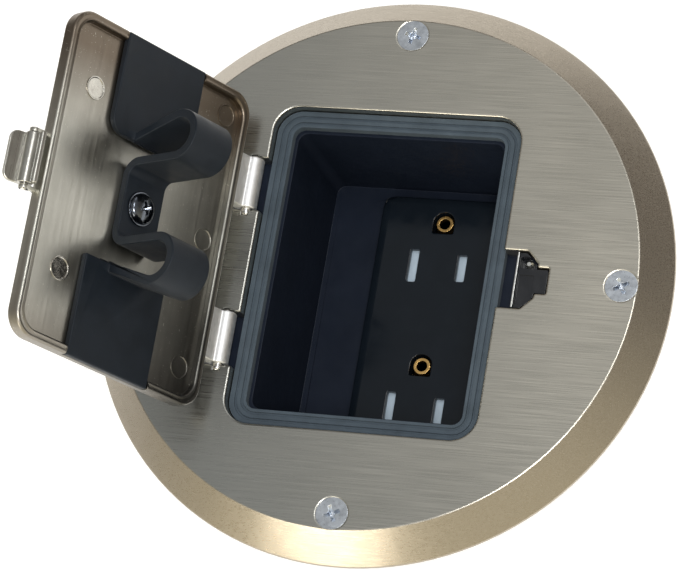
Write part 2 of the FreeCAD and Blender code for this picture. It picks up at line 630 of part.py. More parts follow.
# ---------------------------------------------------------------------------------------------
# Screws and pins
# ---------------------------------------------------------------------------------------------
def make_screw(label, kind, place, countersunk=False, cross=False):
    """Screw standing under its own origin, with the origin at its head's seat (or its top face)."""
    body = new_body(label)
    head = kind + "_head"
    shank = kind + "_shank"
    foot = "-%s_length" % kind
    if countersunk:
        crown = "0"
        neck = kind + "_neck"
        neck_foot = "%s_sink - plate_height" % kind
        corners = [("0", "0"), (head, "0"), (neck, "%s - %s" % (neck, head)), (neck, neck_foot),
                   (shank, neck_foot), (shank, foot), ("0", foot)]
    else:
        crown = kind + "_height"
        shoulder = "%s * %s" % (HEAD_BREAK, crown)
        corners = [("0", crown), ("%s - %s" % (head, shoulder), crown), (head, "%s - %s" % (crown, shoulder)),
                   (head, "0"), (shank, "0"), (shank, foot), ("0", foot)]
    revolve(body, Outline(body, "XZ_Plane", "Profile").polygon(corners))
    arm = "%s * %s" % (DRIVE_REACH, head)
    half = "%s * %s" % (DRIVE_WIDTH, head)
    if cross:
        corners = [(half, half), (half, arm), ("-" + half, arm), ("-" + half, half), ("-" + arm, half),
                   ("-" + arm, "-" + half), ("-" + half, "-" + half), ("-" + half, "-" + arm),
                   (half, "-" + arm), (half, "-" + half), (arm, "-" + half), (arm, half)]
        drive = Outline(body, "XY_Plane", "Drive", crown).polygon(corners)
    else:
        drive = Outline(body, "XY_Plane", "Drive", crown).rectangle("-" + arm, arm, "-" + half, half)
    cut(body, drive, "%s * %s" % (DRIVE_DEPTH, head))
    body.Placement = place


def make_pin(label, radius, length, place, end_break):
    """Round pin along its own Z, with broken ends."""
    body = new_body(label)
    extrude(body, Outline(body, "XY_Plane", "Round").circle("0", "0", radius), length, symmetric=True)
    edge = number(radius)
    dress(body, "Chamfer", end_break, lambda p: abs(Vector(p.x, p.y, 0).Length - edge) < 1e-4
          and near(abs(p.z), length + " / 2"))
    body.Placement = place


def make_fasteners():
    """Every screw, with its head against what it holds."""
    level = number("plate_height - cover_screw_sink")
    for turn, drive_angle in enumerate(COVER_DRIVE_ANGLES):
        spin = Rotation(Vector(0, 0, 1), 90 * turn)
        spot = spin.multVec(Vector(number(SCREW_CIRCLE), 0, level))
        twist = Rotation(Vector(0, 0, 1), drive_angle)
        label = "cover_screw_%d" % (turn + 1)
        make_screw(label, "cover_screw", Placement(spot, twist), countersunk=True, cross=True)
    upward = Rotation(Vector(1, 0, 0), 180)
    for index, (x, y) in enumerate(tub_screw_spots(), start=1):
        make_screw("tub_screw_%d" % index, "tub_screw", Placement(Vector(number(x), number(y), 0), upward))
    for index, side in enumerate((1, -1), start=1):
        spot = Vector(0, side * number("yoke_screw_y"), number(HOUSING_Z))
        seat = receptacle_frame.multiply(Placement(spot, upward))
        make_screw("yoke_screw_%d" % index, "yoke_screw", seat)


def make_hinge_pins():
    """Two pins, each through one knuckle and into the plate on both sides of its notch."""
    along = Rotation(Vector(1, 0, 0), 90)
    length = "(knuckle_length + pin_short_end + pin_long_end)"
    shift = number("(pin_short_end - pin_long_end) / 2")
    for name, side in (("upper", 1), ("lower", -1)):
        spot = Vector(-number("hinge_x"), side * number("knuckle_y") + shift, number(HINGE_Z))
        make_pin("hinge_pin_" + name, "pin_radius", length, Placement(spot, along), "pin_break")


# ---------------------------------------------------------------------------------------------
# Lid, hinge knuckles and latch
# ---------------------------------------------------------------------------------------------
def make_lid():
    """Cast tray with a raised rim, open at both ends for the guard's pads, and latch lugs."""
    body = new_body("lid")
    plan = Outline(body, "XY_Plane", "Plan", "-lid_seat_drop")
    plan.rounded(LID_MIDDLE, "0", "lid_length / 2", "lid_half_y", "lid_corner")
    extrude(body, plan, "lid_thickness")
    field = Outline(body, "XY_Plane", "Field", "-lid_seat_drop")
    field.rounded(LID_MIDDLE, "0", "lid_length / 2 - lid_rim", "lid_half_y - lid_rim", "field_corner")
    cut(body, field, "lid_field_depth", backward=True)
    dress(body, "Chamfer", "rim_break", lambda p: near(p.z, "-lid_seat_drop"))
    dress(body, "Chamfer", "lid_top_break", lambda p: near(p.z, LID_TOP))
    gates = Outline(body, "XY_Plane", "PadGates", "-lid_seat_drop")
    for side in ("", "-"):
        gates.rectangle(LID_MIDDLE + " - pad_half_x - fit_gap / 2",
                        LID_MIDDLE + " + pad_half_x + fit_gap / 2",
                        side + "(lid_half_y - lid_rim - fit_gap)", side + "(lid_half_y + fit_gap)")
    cut(body, gates, "lid_field_depth", backward=True)
    for lift in ("latch_half_y + lug_gap - latch_shift", "-latch_half_y - lug_gap - lug_width - latch_shift"):
        lug = Outline(body, "XZ_Plane", "Lug", lift)
        lug.rectangle(LID_END + " - lid_rim / 2", PIVOT_X, "latch_rise - lug_radius", "latch_rise")
        extrude(body, lug, "lug_width")
        lug_end = Outline(body, "XZ_Plane", "LugEnd", lift).circle(PIVOT_X, "latch_rise", "lug_radius")
        extrude(body, lug_end, "lug_width")
    bore(body, "XZ_Plane", PIVOT_X, "latch_rise", "-latch_half_y - lug_gap - lug_width - latch_shift",
         "latch_pin_radius + hole_gap / 2", "2 * (latch_half_y + lug_gap + lug_width)")
    bore(body, "XY_Plane", LID_MIDDLE, "0", LID_FIELD, "guard_screw_shank + hole_gap",
         "guard_screw_length - strap_thickness - washer_thickness + fit_gap / 2")
    body.Placement = lid_frame


def make_knuckles():
    """Barrels that turn on the hinge pins, each with the arm that meets the lid's edge."""
    for name, side in (("upper", "-"), ("lower", "")):
        body = new_body("hinge_knuckle_" + name)
        lift = side + "knuckle_y"
        barrel = Outline(body, "XZ_Plane", "Barrel", lift).circle("0", "0", "knuckle_radius")
        extrude(body, barrel, "knuckle_length", symmetric=True)
        arm = Outline(body, "XZ_Plane", "Arm", lift)
        arm.rectangle("0", "lid_edge_gap", "-arm_drop", "knuckle_radius - arm_back")
        extrude(body, arm, "knuckle_length", symmetric=True)
        hole = Outline(body, "XZ_Plane", "Eye", lift).circle("0", "0", "pin_radius + pin_running_gap")
        cut(body, hole, "2 * knuckle_length", symmetric=True)
        body.Placement = lid_frame


def make_latch():
    """Formed lever on the lid's free edge, and the pin that it turns on."""
    body = new_body("latch_lever")
    top = "latch_barrel"
    tab = Outline(body, "XZ_Plane", "Tab")
    tab.rectangle("0", "latch_tab", "latch_barrel - latch_sheet", top)
    extrude(body, tab, "2 * latch_half_y", symmetric=True)
    far = number("latch_tab")
    dress(body, "Fillet", "latch_tab_corner", lambda p: abs(p.x - far) < 1e-4
          and abs(abs(p.y) - number("latch_half_y")) < 1e-4)
    barrel = Outline(body, "XZ_Plane", "Barrel").circle("0", "0", "latch_barrel")
    extrude(body, barrel, "2 * latch_half_y", symmetric=True)
    leg = Outline(body, "XZ_Plane", "Leg")
    side = "-latch_leg_left"
    inner = "(latch_sheet - latch_leg_left)"
    foot = "-latch_leg_drop"
    leg.polygon([(side, "0"), (side, foot), (inner, foot), (inner + " + latch_barb", foot + " + latch_barb"),
                 (inner, foot + " + 2 * latch_barb"), (inner, "0")])
    extrude(body, leg, "2 * latch_half_y", symmetric=True)
    eye = Outline(body, "XZ_Plane", "Eye").circle("0", "0", "latch_pin_radius + pin_running_gap")
    cut(body, eye, "4 * latch_half_y", symmetric=True)
    body.Placement = latch_frame
    place = lid_frame.multiply(Placement(latch_pivot, Rotation(Vector(1, 0, 0), 90)))
    make_pin("latch_pin", "latch_pin_radius", "(2 * (latch_half_y + lug_gap + lug_width + latch_pin_proud))",
             place, "latch_pin_break")


def make_keeper():
    """Black keeper in the latch pocket, its steel strips and its detent ball."""
    block = new_body("keeper_block")
    left = "keeper_strip_gap + keeper_strip_thickness"
    plan = Outline(block, "XY_Plane", "Plan", RECESS)
    plan.polygon(pocket_corners("fit_gap", left))
    extrude(block, plan, "web_thickness - keeper_drop")
    top = "plate_height - keeper_drop"
    window = Outline(block, "XY_Plane", "Window", top)
    window_x = "(opening_half_x + (keeper_strip_gap + keeper_pocket_reach) / 2)"
    window.rounded(window_x, "keeper_window_y", "keeper_window_half", "keeper_window_tall",
                   "keeper_window_corner")
    cut(block, window, "keeper_window_depth")
    tray = Outline(block, "XY_Plane", "Tray", top)
    tray.rectangle(window_x + " - keeper_window_half", window_x + " + keeper_window_half",
                   "-keeper_tray_low", "keeper_tray_high")
    cut(block, tray, "keeper_tray_depth")
    strip = new_body("keeper_strip")
    face = Outline(strip, "XZ_Plane", "Profile")
    near_side = "(opening_half_x + keeper_strip_gap)"
    far_side = "(opening_half_x + keeper_strip_gap + keeper_strip_thickness)"
    crest = "plate_height - keeper_strip_drop"
    face.polygon([(near_side, RECESS), (far_side, RECESS), (far_side, crest),
                  (far_side + " + keeper_strip_thickness", crest),
                  (far_side + " + keeper_strip_thickness", crest + " + keeper_curl"),
                  (near_side, crest + " + keeper_curl")])
    extrude(strip, face, "2 * (keeper_pocket_half - fit_gap)", symmetric=True)
    ball = new_body("keeper_ball")
    corners = [("0", "0"), ("keeper_ball", "0"), ("keeper_ball", "keeper_ball_rise - keeper_ball_break"),
               ("keeper_ball - keeper_ball_break", "keeper_ball_rise"), ("0", "keeper_ball_rise")]
    revolve(ball, Outline(ball, "XZ_Plane", "Profile").polygon(corners))
    ball.Placement = Placement(Vector(number(window_x), number("keeper_window_y"),
                                      number(top + " - keeper_window_depth")), Rotation())


# ---------------------------------------------------------------------------------------------
# Rubber cord guard
# ---------------------------------------------------------------------------------------------
def make_cord_guard():
    """One rubber piece: two end pads, and a strap that rises into two loops between them."""
    body = new_body("cord_guard")
    pad = Outline(body, "XY_Plane", "Pad")
    pad.rectangle("-pad_half_x", "pad_half_x", "pad_start", "lid_half_y")
    first = extrude(body, pad, "pad_thickness")
    dress(body, "Fillet", "pad_corner", lambda p: near(p.y, "pad_start")
          and abs(abs(p.x) - number("pad_half_x")) < 1e-4)
    section = Outline(body, "XZ_Plane", "StrapSection")
    section.rectangle("-strap_half_x", "strap_half_x", "0", "strap_thickness")
    route = Outline(body, "YZ_Plane", "StrapRoute")
    strap_route(route)
    strap = body.newObject("PartDesign::AdditivePipe", "Strap")
    strap.Profile = section.sketch
    strap.Spine = (route.sketch, [])
    document.recompute()
    body.Tip = strap
    whole = body.newObject("PartDesign::Mirrored", "Mirror")
    whole.MirrorPlane = (plane(body, "XZ_Plane"), [""])
    whole.Originals = [first, strap]
    body.Tip = whole
    document.recompute()
    bore(body, "XY_Plane", "0", "0", "0", "guard_screw_shank + hole_gap", "strap_thickness")
    body.Placement = guard_frame


def strap_route(route):
    """Half of the strap's middle line: along the lid, up the inner leg, over the crown, down."""
    sketch = route.sketch
    mid = number("strap_thickness / 2")
    leg = number("loop_leg")
    foot = number("loop_foot_radius")
    crown = number("loop_radius")
    centre = Vector(leg + crown, number("loop_height"), 0)
    end = Vector(number("loop_end"), mid, 0)
    reach = end - centre
    swing = math.acos(crown / reach.Length)
    out = math.atan2(reach.y, reach.x) + swing
    turn_out = centre + Vector(crown * math.cos(out), crown * math.sin(out), 0)
    bend = Vector(leg - foot, mid + foot, 0)
    sketch.addGeometry(Part.LineSegment(Vector(0, mid, 0), Vector(leg - foot, mid, 0)))
    sketch.addGeometry(arc_about(bend, foot, -math.pi / 2, 0.0))
    sketch.addGeometry(Part.LineSegment(Vector(leg, mid + foot, 0), Vector(leg, centre.y, 0)))
    sketch.addGeometry(arc_about(centre, crown, out, math.pi))
    sketch.addGeometry(Part.LineSegment(turn_out, end))
    for first, first_end, second, second_end in [(0, 2, 1, 1), (1, 2, 2, 1), (2, 2, 3, 2), (3, 1, 4, 1)]:
        sketch.addConstraint(Sketcher.Constraint("Tangent", first, first_end, second, second_end))
    route.hold("DistanceX", 0, 1, "0")
    route.hold("DistanceY", 0, 1, "strap_thickness / 2")
    sketch.addConstraint(Sketcher.Constraint("Horizontal", 0))
    sketch.addConstraint(Sketcher.Constraint("Vertical", 2))
    route.radius(1, "loop_foot_radius")
    route.radius(3, "loop_radius")
    route.hold("DistanceX", 2, 2, "loop_leg")
    route.hold("DistanceY", 3, 3, "loop_height")
    route.hold("DistanceX", 4, 2, "loop_end")
    route.hold("DistanceY", 4, 2, "strap_thickness / 2")


def arc_about(centre, radius, start, stop):
    """Arc about a centre, anticlockwise between two angles in radians."""
    return Part.ArcOfCircle(Part.Circle(centre, Vector(0, 0, 1), radius), start, stop)


def make_guard_fixing():
    """Washer and screw that hold the guard's middle to the lid."""
    washer = new_body("guard_washer")
    ring = Outline(washer, "XY_Plane", "Ring", "strap_thickness")
    ring.circle("0", "0", "washer_radius")
    ring.circle("0", "0", "guard_screw_shank + hole_gap")
    extrude(washer, ring, "washer_thickness")
    washer.Placement = guard_frame
    drive_turn = Rotation(Vector(0, 0, 1), GUARD_DRIVE_ANGLE)
    seat = Placement(Vector(0, 0, number("strap_thickness + washer_thickness")), drive_turn)
    make_screw("guard_screw", "guard_screw", guard_frame.multiply(seat), cross=True)


# ---------------------------------------------------------------------------------------------
# Receptacle
# ---------------------------------------------------------------------------------------------
def slot_sizes():
    """Side, height of the two slots of an outlet, seen from above with the ground hole at +Y."""
    return (("-", "long_slot"), ("", "short_slot"))


def make_receptacle_face():
    """Glossy face with two outlets, hollow behind for the shutters and the ground contacts."""
    body = new_body("receptacle_face")
    plan = Outline(body, "XY_Plane", "Plan", YOKE_Z)
    plan.rounded("0", "0", "face_half_x", "face_half_y", "face_corner")
    extrude(body, plan, FACE_Z + " - " + YOKE_Z)
    dress(body, "Chamfer", "face_round", lambda p: near(p.z, FACE_Z))
    slots = Outline(body, "XY_Plane", "Slots", FACE_Z)
    grounds = Outline(body, "XY_Plane", "Grounds", FACE_Z)
    feet = Outline(body, "XY_Plane", "GroundFeet", FACE_Z)
    chambers = Outline(body, "XY_Plane", "Chambers", YOKE_Z)
    sleeves = Outline(body, "XY_Plane", "Sleeves", YOKE_Z)
    for middle in OUTLETS.values():
        low = "(%s - slot_shift)" % middle
        for side, height in slot_sizes():
            spot = "%sblade_pitch / 2" % side
            slots.rectangle(spot + " - slot_width / 2", spot + " + slot_width / 2",
                            "%s - %s / 2" % (low, height), "%s + %s / 2" % (low, height))
        rise = low + " + ground_rise"
        grounds.circle("0", rise, "ground_radius")
        feet.rectangle("-ground_radius", "ground_radius", rise + " - ground_foot", rise)
        chambers.rectangle("-shutter_half_x - shutter_gap", "shutter_half_x + shutter_travel + shutter_gap",
                           low + " - shutter_half_y - shutter_gap", low + " + shutter_half_y + shutter_gap")
        sleeves.circle("0", rise, "ground_radius + contact_wall + contact_gap")
    cut(body, slots, "face_skin")
    cut(body, grounds, FACE_Z + " - " + YOKE_Z)
    cut(body, feet, FACE_Z + " - " + YOKE_Z)
    cut(body, chambers, FACE_Z + " - face_skin - " + YOKE_Z, backward=True)
    cut(body, sleeves, "contact_length", backward=True)
    body.Placement = receptacle_frame


def make_receptacle_inside():
    """Shutters behind the slots and brass contacts behind the ground holes."""
    for name, middle in OUTLETS.items():
        low = "(%s - slot_shift)" % middle
        shutter = new_body("shutter_" + name)
        level = FACE_Z + " - face_skin - shutter_gap"
        plan = Outline(shutter, "XY_Plane", "Plan", level)
        plan.rounded("0", low, "shutter_half_x", "shutter_half_y", "shutter_corner")
        extrude(shutter, plan, "shutter_thickness", backward=True)
        windows = Outline(shutter, "XY_Plane", "Windows", level)
        spot = "(blade_pitch / 2 - shutter_travel)"
        half_x = "(slot_width / 2 + shutter_window_gap)"
        half_y = "(short_slot / 2 + shutter_window_gap)"
        windows.rectangle(spot + " - " + half_x, spot + " + " + half_x,
                          low + " - " + half_y, low + " + " + half_y)
        cut(shutter, windows, "shutter_thickness")
        shutter.Placement = receptacle_frame
        contact = new_body("ground_contact_" + name)
        ring = Outline(contact, "XY_Plane", "Ring", YOKE_Z)
        rise = low + " + ground_rise"
        ring.circle("0", rise, "ground_radius + contact_wall")
        ring.circle("0", rise, "ground_radius - contact_wall")
        extrude(contact, ring, "contact_length")
        contact.Placement = receptacle_frame


def make_receptacle_back():
    """Mounting strap, back housing and the terminal screws on its sides."""
    yoke = new_body("receptacle_yoke")
    wide = "yoke_half_x"
    narrow = "yoke_end_half_x"
    shoulder = "(face_half_y + yoke_shoulder)"
    taper = "(yoke_half_x - yoke_end_half_x)"
    plan = Outline(yoke, "XY_Plane", "Plan", YOKE_Z)
    right = [(narrow, "-yoke_half_y"), (narrow, "-" + shoulder), (wide, "-%s + %s" % (shoulder, taper)),
             (wide, "%s - %s" % (shoulder, taper)), (narrow, shoulder), (narrow, "yoke_half_y")]
    plan.polygon(right + [("-(%s)" % x, y) for x, y in reversed(right)])
    plan.rounded("0", "0", "yoke_window_x", "yoke_window_y", "yoke_window_corner")
    for side in ("", "-"):
        plan.circle("0", side + "yoke_screw_y", "yoke_screw_shank + yoke_hole_gap")
    extrude(yoke, plan, "yoke_thickness", backward=True)
    yoke.Placement = receptacle_frame
    housing = new_body("receptacle_housing")
    block = Outline(housing, "XY_Plane", "Plan", HOUSING_Z)
    block.rounded("0", "0", "housing_half_x", "housing_half_y", "housing_corner")
    extrude(housing, block, "housing_depth", backward=True)
    dress(housing, "Chamfer", "housing_chamfer", lambda p: near(p.z, HOUSING_Z + " - housing_depth"))
    table = Outline(housing, "XY_Plane", "Table", HOUSING_Z)
    table.rounded("0", "0", "yoke_window_x - fit_gap / 2", "yoke_window_y - fit_gap / 2",
                  "yoke_window_corner - fit_gap / 2")
    extrude(housing, table, "yoke_thickness")
    beds = Outline(housing, "XY_Plane", "ShutterBeds", YOKE_Z)
    wells = Outline(housing, "XY_Plane", "BladeWells", BED_Z)
    for middle in OUTLETS.values():
        low = "(%s - slot_shift)" % middle
        beds.rectangle("-shutter_half_x", "shutter_half_x + shutter_travel", low + " - shutter_half_y",
                       low + " + shutter_half_y")
        for side, height in slot_sizes():
            spot = "%sblade_pitch / 2" % side
            wells.rectangle(spot + " - slot_width / 2", spot + " + slot_width / 2",
                            "%s - %s / 2" % (low, height), "%s + %s / 2" % (low, height))
    extrude(housing, beds, BED_Z + " - " + YOKE_Z)
    cut(housing, wells, "blade_depth")
    recesses = Outline(housing, "YZ_Plane", "Recesses", "housing_half_x")
    level = HOUSING_Z + " - terminal_drop"
    for side in ("", "-"):
        spot = side + "terminal_y"
        recesses.rectangle(spot + " - terminal_recess_half", spot + " + terminal_recess_half",
                           level + " - terminal_recess_half", level + " + terminal_recess_half")
    sides = cut(housing, recesses, "terminal_recess")
    mirror(housing, [sides], "YZ_Plane")
    for spot in terminal_spots():
        bore(housing, "YZ_Plane", spot[1], level, "-housing_half_x + terminal_recess" if spot[0] == "-"
             else "housing_half_x - terminal_recess - terminal_screw_length",
             "terminal_screw_shank + hole_gap", "terminal_screw_length")
    housing.Placement = receptacle_frame
    for index, (side, y) in enumerate(terminal_spots(), start=1):
        outward = Rotation(Vector(0, 1, 0), 90 if side == "" else -90)
        spot = Vector(number(side + "(housing_half_x - terminal_recess)"), number(y), number(level))
        make_screw("terminal_screw_%d" % index, "terminal_screw",
                   receptacle_frame.multiply(Placement(spot, outward)))


def terminal_spots():
    """Side and height along the housing of the four terminal screws."""
    return [(side, end + "terminal_y") for side in ("", "-") for end in ("", "-")]


# ---------------------------------------------------------------------------------------------
# Build, check and write
# ---------------------------------------------------------------------------------------------
def write_nodes():
    """Check every object and every node's shape, then write one STEP file for each node."""
    document.recompute()
    faulty = [thing.Name for thing in document.Objects
              if "Invalid" in thing.State or "Error" in thing.State]
    nodes = [thing for thing in document.Objects if thing.TypeId == "PartDesign::Body"]
    for node in nodes:
        if node.Shape.isNull() or not node.Shape.isValid() or len(node.Shape.Solids) != 1:
            faulty.append(node.Label)
    if faulty:
        raise RuntimeError("faulty objects: " + ", ".join(faulty))
    os.makedirs("parts", exist_ok=True)
    for node in nodes:
        node.Shape.exportStep("parts/%s.step" % node.Label)
    print("%d nodes written" % len(nodes))


def main():
    """Make every sub-part in turn."""
    make_cover_plate()
    make_floor_gasket()
    make_lid_gasket()
    make_recess_tub()
    make_fasteners()
    make_hinge_pins()
    make_lid()
    make_knuckles()
    make_latch()
    make_keeper()
    make_cord_guard()
    make_guard_fixing()
    make_receptacle_face()
    make_receptacle_inside()
    make_receptacle_back()
    write_nodes()


main()
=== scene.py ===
"""Looks of the floor socket box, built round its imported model.

Each sub-assembly is a class that models and dresses its own pieces, each finish is a frozen
dataclass that makes one material, and main() builds them in order. Lengths are in mm and angles
in degrees where nothing else is said.
"""

import json
import logging
import math
from dataclasses import dataclass, field
from enum import Enum
from typing import Callable, ClassVar, Iterable, Sequence

import bpy
from mathutils import Euler, Matrix, Vector


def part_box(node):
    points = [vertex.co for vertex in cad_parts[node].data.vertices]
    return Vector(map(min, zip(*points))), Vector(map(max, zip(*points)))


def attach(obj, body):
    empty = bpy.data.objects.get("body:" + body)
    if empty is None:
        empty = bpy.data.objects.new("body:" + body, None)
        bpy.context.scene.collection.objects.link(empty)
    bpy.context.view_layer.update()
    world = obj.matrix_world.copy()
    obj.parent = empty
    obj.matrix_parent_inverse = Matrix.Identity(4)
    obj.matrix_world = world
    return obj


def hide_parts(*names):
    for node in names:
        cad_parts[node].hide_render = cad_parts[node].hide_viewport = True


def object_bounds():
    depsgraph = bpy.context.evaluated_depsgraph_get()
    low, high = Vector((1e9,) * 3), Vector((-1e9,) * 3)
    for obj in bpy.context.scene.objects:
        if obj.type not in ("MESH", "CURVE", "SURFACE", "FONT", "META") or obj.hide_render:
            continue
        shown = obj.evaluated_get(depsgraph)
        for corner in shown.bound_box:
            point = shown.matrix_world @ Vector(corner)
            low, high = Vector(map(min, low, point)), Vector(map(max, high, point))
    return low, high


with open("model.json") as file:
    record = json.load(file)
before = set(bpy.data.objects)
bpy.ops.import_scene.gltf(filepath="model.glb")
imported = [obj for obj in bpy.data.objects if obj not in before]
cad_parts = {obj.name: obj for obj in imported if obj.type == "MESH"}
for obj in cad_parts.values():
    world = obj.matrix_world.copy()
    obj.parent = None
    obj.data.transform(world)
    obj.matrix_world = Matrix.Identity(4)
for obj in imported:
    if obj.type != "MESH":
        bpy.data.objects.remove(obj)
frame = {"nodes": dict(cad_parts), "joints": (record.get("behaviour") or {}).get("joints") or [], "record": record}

# One millimetre in metres, the cosine from which a face counts as facing a way, and the smallest
# turn that counts as an edge on a finely facetted piece.
MM = 0.001
FACING = 0.99
CREASE = 40.0
LOG = logging.getLogger("floor_socket")
CAD_BOX = [list(corner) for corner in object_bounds()]

Triple = tuple[float, float, float]
Colour = Triple
Socket = bpy.types.NodeSocket
Piece = bpy.types.Object
Node = bpy.types.Node
Test = Callable[[Vector, Vector], bool]


class Body(str, Enum):
    """Bodies that the modelled pieces ride on."""

    COVER = "cover"
    LID = "lid"
    LATCH = "latch"


class Grain(Enum):
    """Direction in which a metal was brushed, as features along x, y and z before scaling."""

    ALONG_X = (0.4, 26.0, 26.0)
    ALONG_Y = (26.0, 0.4, 26.0)
    NONE = (12.0, 12.0, 12.0)


class Graph:
    """Shader nodes of one material or world, laid and linked."""

    def __init__(self, tree: bpy.types.NodeTree) -> None:
        """Empties the tree.

        Args:
            tree: node tree to fill.
        """
        self.tree = tree
        tree.nodes.clear()

    def node(self, kind: str, inputs: dict | None = None, **settings: object) -> Node:
        """Adds one node.

        Args:
            kind: node type without its prefix.
            inputs: socket values, or sockets to link from, by socket name or number.
            settings: properties of the node.

        Returns:
            The node.
        """
        made = self.tree.nodes.new("ShaderNode" + kind)
        for key, value in settings.items():
            setattr(made, key, value)
        for key, value in (inputs or {}).items():
            if isinstance(value, Socket):
                self.tree.links.new(value, made.inputs[key])
            else:
                made.inputs[key].default_value = value
        return made

    def compute(self, operation: str, first: Socket, second: Socket | float = 0.0,
                **settings: object) -> Socket:
        """Computes with one number or two.

        Args:
            operation: what the math node does.
            first: first number.
            second: second number.
            settings: properties of the node.

        Returns:
            The result.
        """
        return self.node("Math", {0: first, 1: second}, operation=operation, **settings).outputs[0]

    def noise(self, coords: Socket, scale: Sequence[float], detail: float = 3.0,
              turn: Triple = (0.0, 0.0, 0.0)) -> Socket:
        """Adds a noise whose features run to different lengths along the three axes.

        Args:
            coords: coordinates in metres.
            scale: features per millimetre along x, y and z.
            detail: octaves of finer noise.
            turn: turn of the pattern.

        Returns:
            The noise factor, about 0.5 on average.
        """
        angles = [math.radians(a) for a in turn]
        turned = self.node("Mapping", {"Vector": coords, "Rotation": angles}).outputs[0]
        spread = self.node("Mapping", {"Vector": turned, "Scale": [s / MM for s in scale]})
        grain = self.node("TexNoise", {"Vector": spread.outputs[0], "Scale": 1.0, "Detail": detail,
                                       "Roughness": 0.55})
        return grain.outputs["Fac"]

    def between(self, factor: Socket, low: float, high: float,
                start: float = 0.3, end: float = 0.7) -> Socket:
        """Maps a factor to a range of values.

        Args:
            factor: socket to read.
            low: value at the start.
            high: value at the end.
            start: factor that gives the low value.
            end: factor that gives the high value.

        Returns:
            The mapped value.
        """
        mapped = self.node("MapRange", {0: factor, 1: start, 2: end, 3: low, 4: high})
        return mapped.outputs[0]

    def mix(self, factor: Socket, low: Socket | Colour, high: Colour) -> Socket:
        """Mixes two colours by a factor.

        Args:
            factor: 0 gives the first colour and 1 the second.
            low: first colour, plain or varying.
            high: second colour.

        Returns:
            The mixed colour.
        """
        first = low if isinstance(low, Socket) else (*low, 1.0)
        mixed = self.node("Mix", {0: factor, 6: first, 7: (*high, 1.0)}, data_type="RGBA")
        return mixed.outputs[2]


def shade(colour: Colour, factor: float) -> Colour:
    """Makes a colour lighter or darker.

    Args:
        colour: colour to start from.
        factor: factor for each channel.

    Returns:
        The colour, at most 1 in each channel.
    """
    return tuple(min(1.0, c * factor) for c in colour)


@dataclass(frozen=True)
class Finish:
    """What every finish has.

    Attributes:
        name: material name.
        colour: mean colour, linear.
        roughness: mean roughness.
        patchiness: how far slow patches change the colour.
        patch: size of a patch.
    """

    # How far the roughness falls below and rises above its mean, and the height of the bump in m.
    smoother = 0.06
    rougher = 0.08
    bump_height = 0.00006
    name: str
    colour: Colour
    roughness: float = 0.4
    patchiness: float = 0.10
    patch: float = 12.0

    def make(self) -> bpy.types.Material:
        """Makes the material.

        Returns:
            The material, or the one made before.
        """
        name = f"{self.name}_finish"
        found = bpy.data.materials.get(name)
        if found is not None:
            return found
        material = bpy.data.materials.new(name)
        material.use_nodes = True
        graph = Graph(material.node_tree)
        coords = graph.node("TexCoord").outputs["Object"]
        shader = graph.node("BsdfPrincipled")
        self.fill(graph, coords, shader)
        graph.node("OutputMaterial", {"Surface": shader.outputs[0]})
        return material

    def patches(self, graph: Graph, coords: Socket) -> Socket:
        """Makes the slowly varying colour of the surface.

        Args:
            graph: nodes of the material.
            coords: object coordinates.

        Returns:
            The colour.
        """
        scale = 1.0 / self.patch
        slow = graph.noise(coords, (scale,) * 3, detail=4.0)
        return graph.mix(graph.between(slow, 0.0, 1.0), shade(self.colour, 1 - self.patchiness),
                         shade(self.colour, 1 + self.patchiness))

    def dress(self, graph: Graph, shader: Node, colour: Socket, tone: Socket,
              height: Socket, strength: float) -> None:
        """Links colour, roughness and bump to the shader.

        Args:
            graph: nodes of the material.
            shader: shader node to set.
            colour: colour of the surface.
            tone: factor that the roughness follows.
            height: factor that the bump follows.
            strength: strength of the bump.
        """
        rough = graph.between(tone, self.roughness - self.smoother, self.roughness + self.rougher)
        bump = graph.node("Bump", {"Height": height, "Strength": strength,
                                   "Distance": self.bump_height})
        for source, target in ((colour, "Base Color"), (rough, "Roughness"),
                               (bump.outputs[0], "Normal")):
            graph.tree.links.new(source, shader.inputs[target])

    def fill(self, graph: Graph, coords: Socket, shader: bpy.types.Node) -> None:
        """Links the finish to its shader.

        Args:
            graph: nodes of the material.
            coords: object coordinates.
            shader: shader node to set.
        """
        raise NotImplementedError


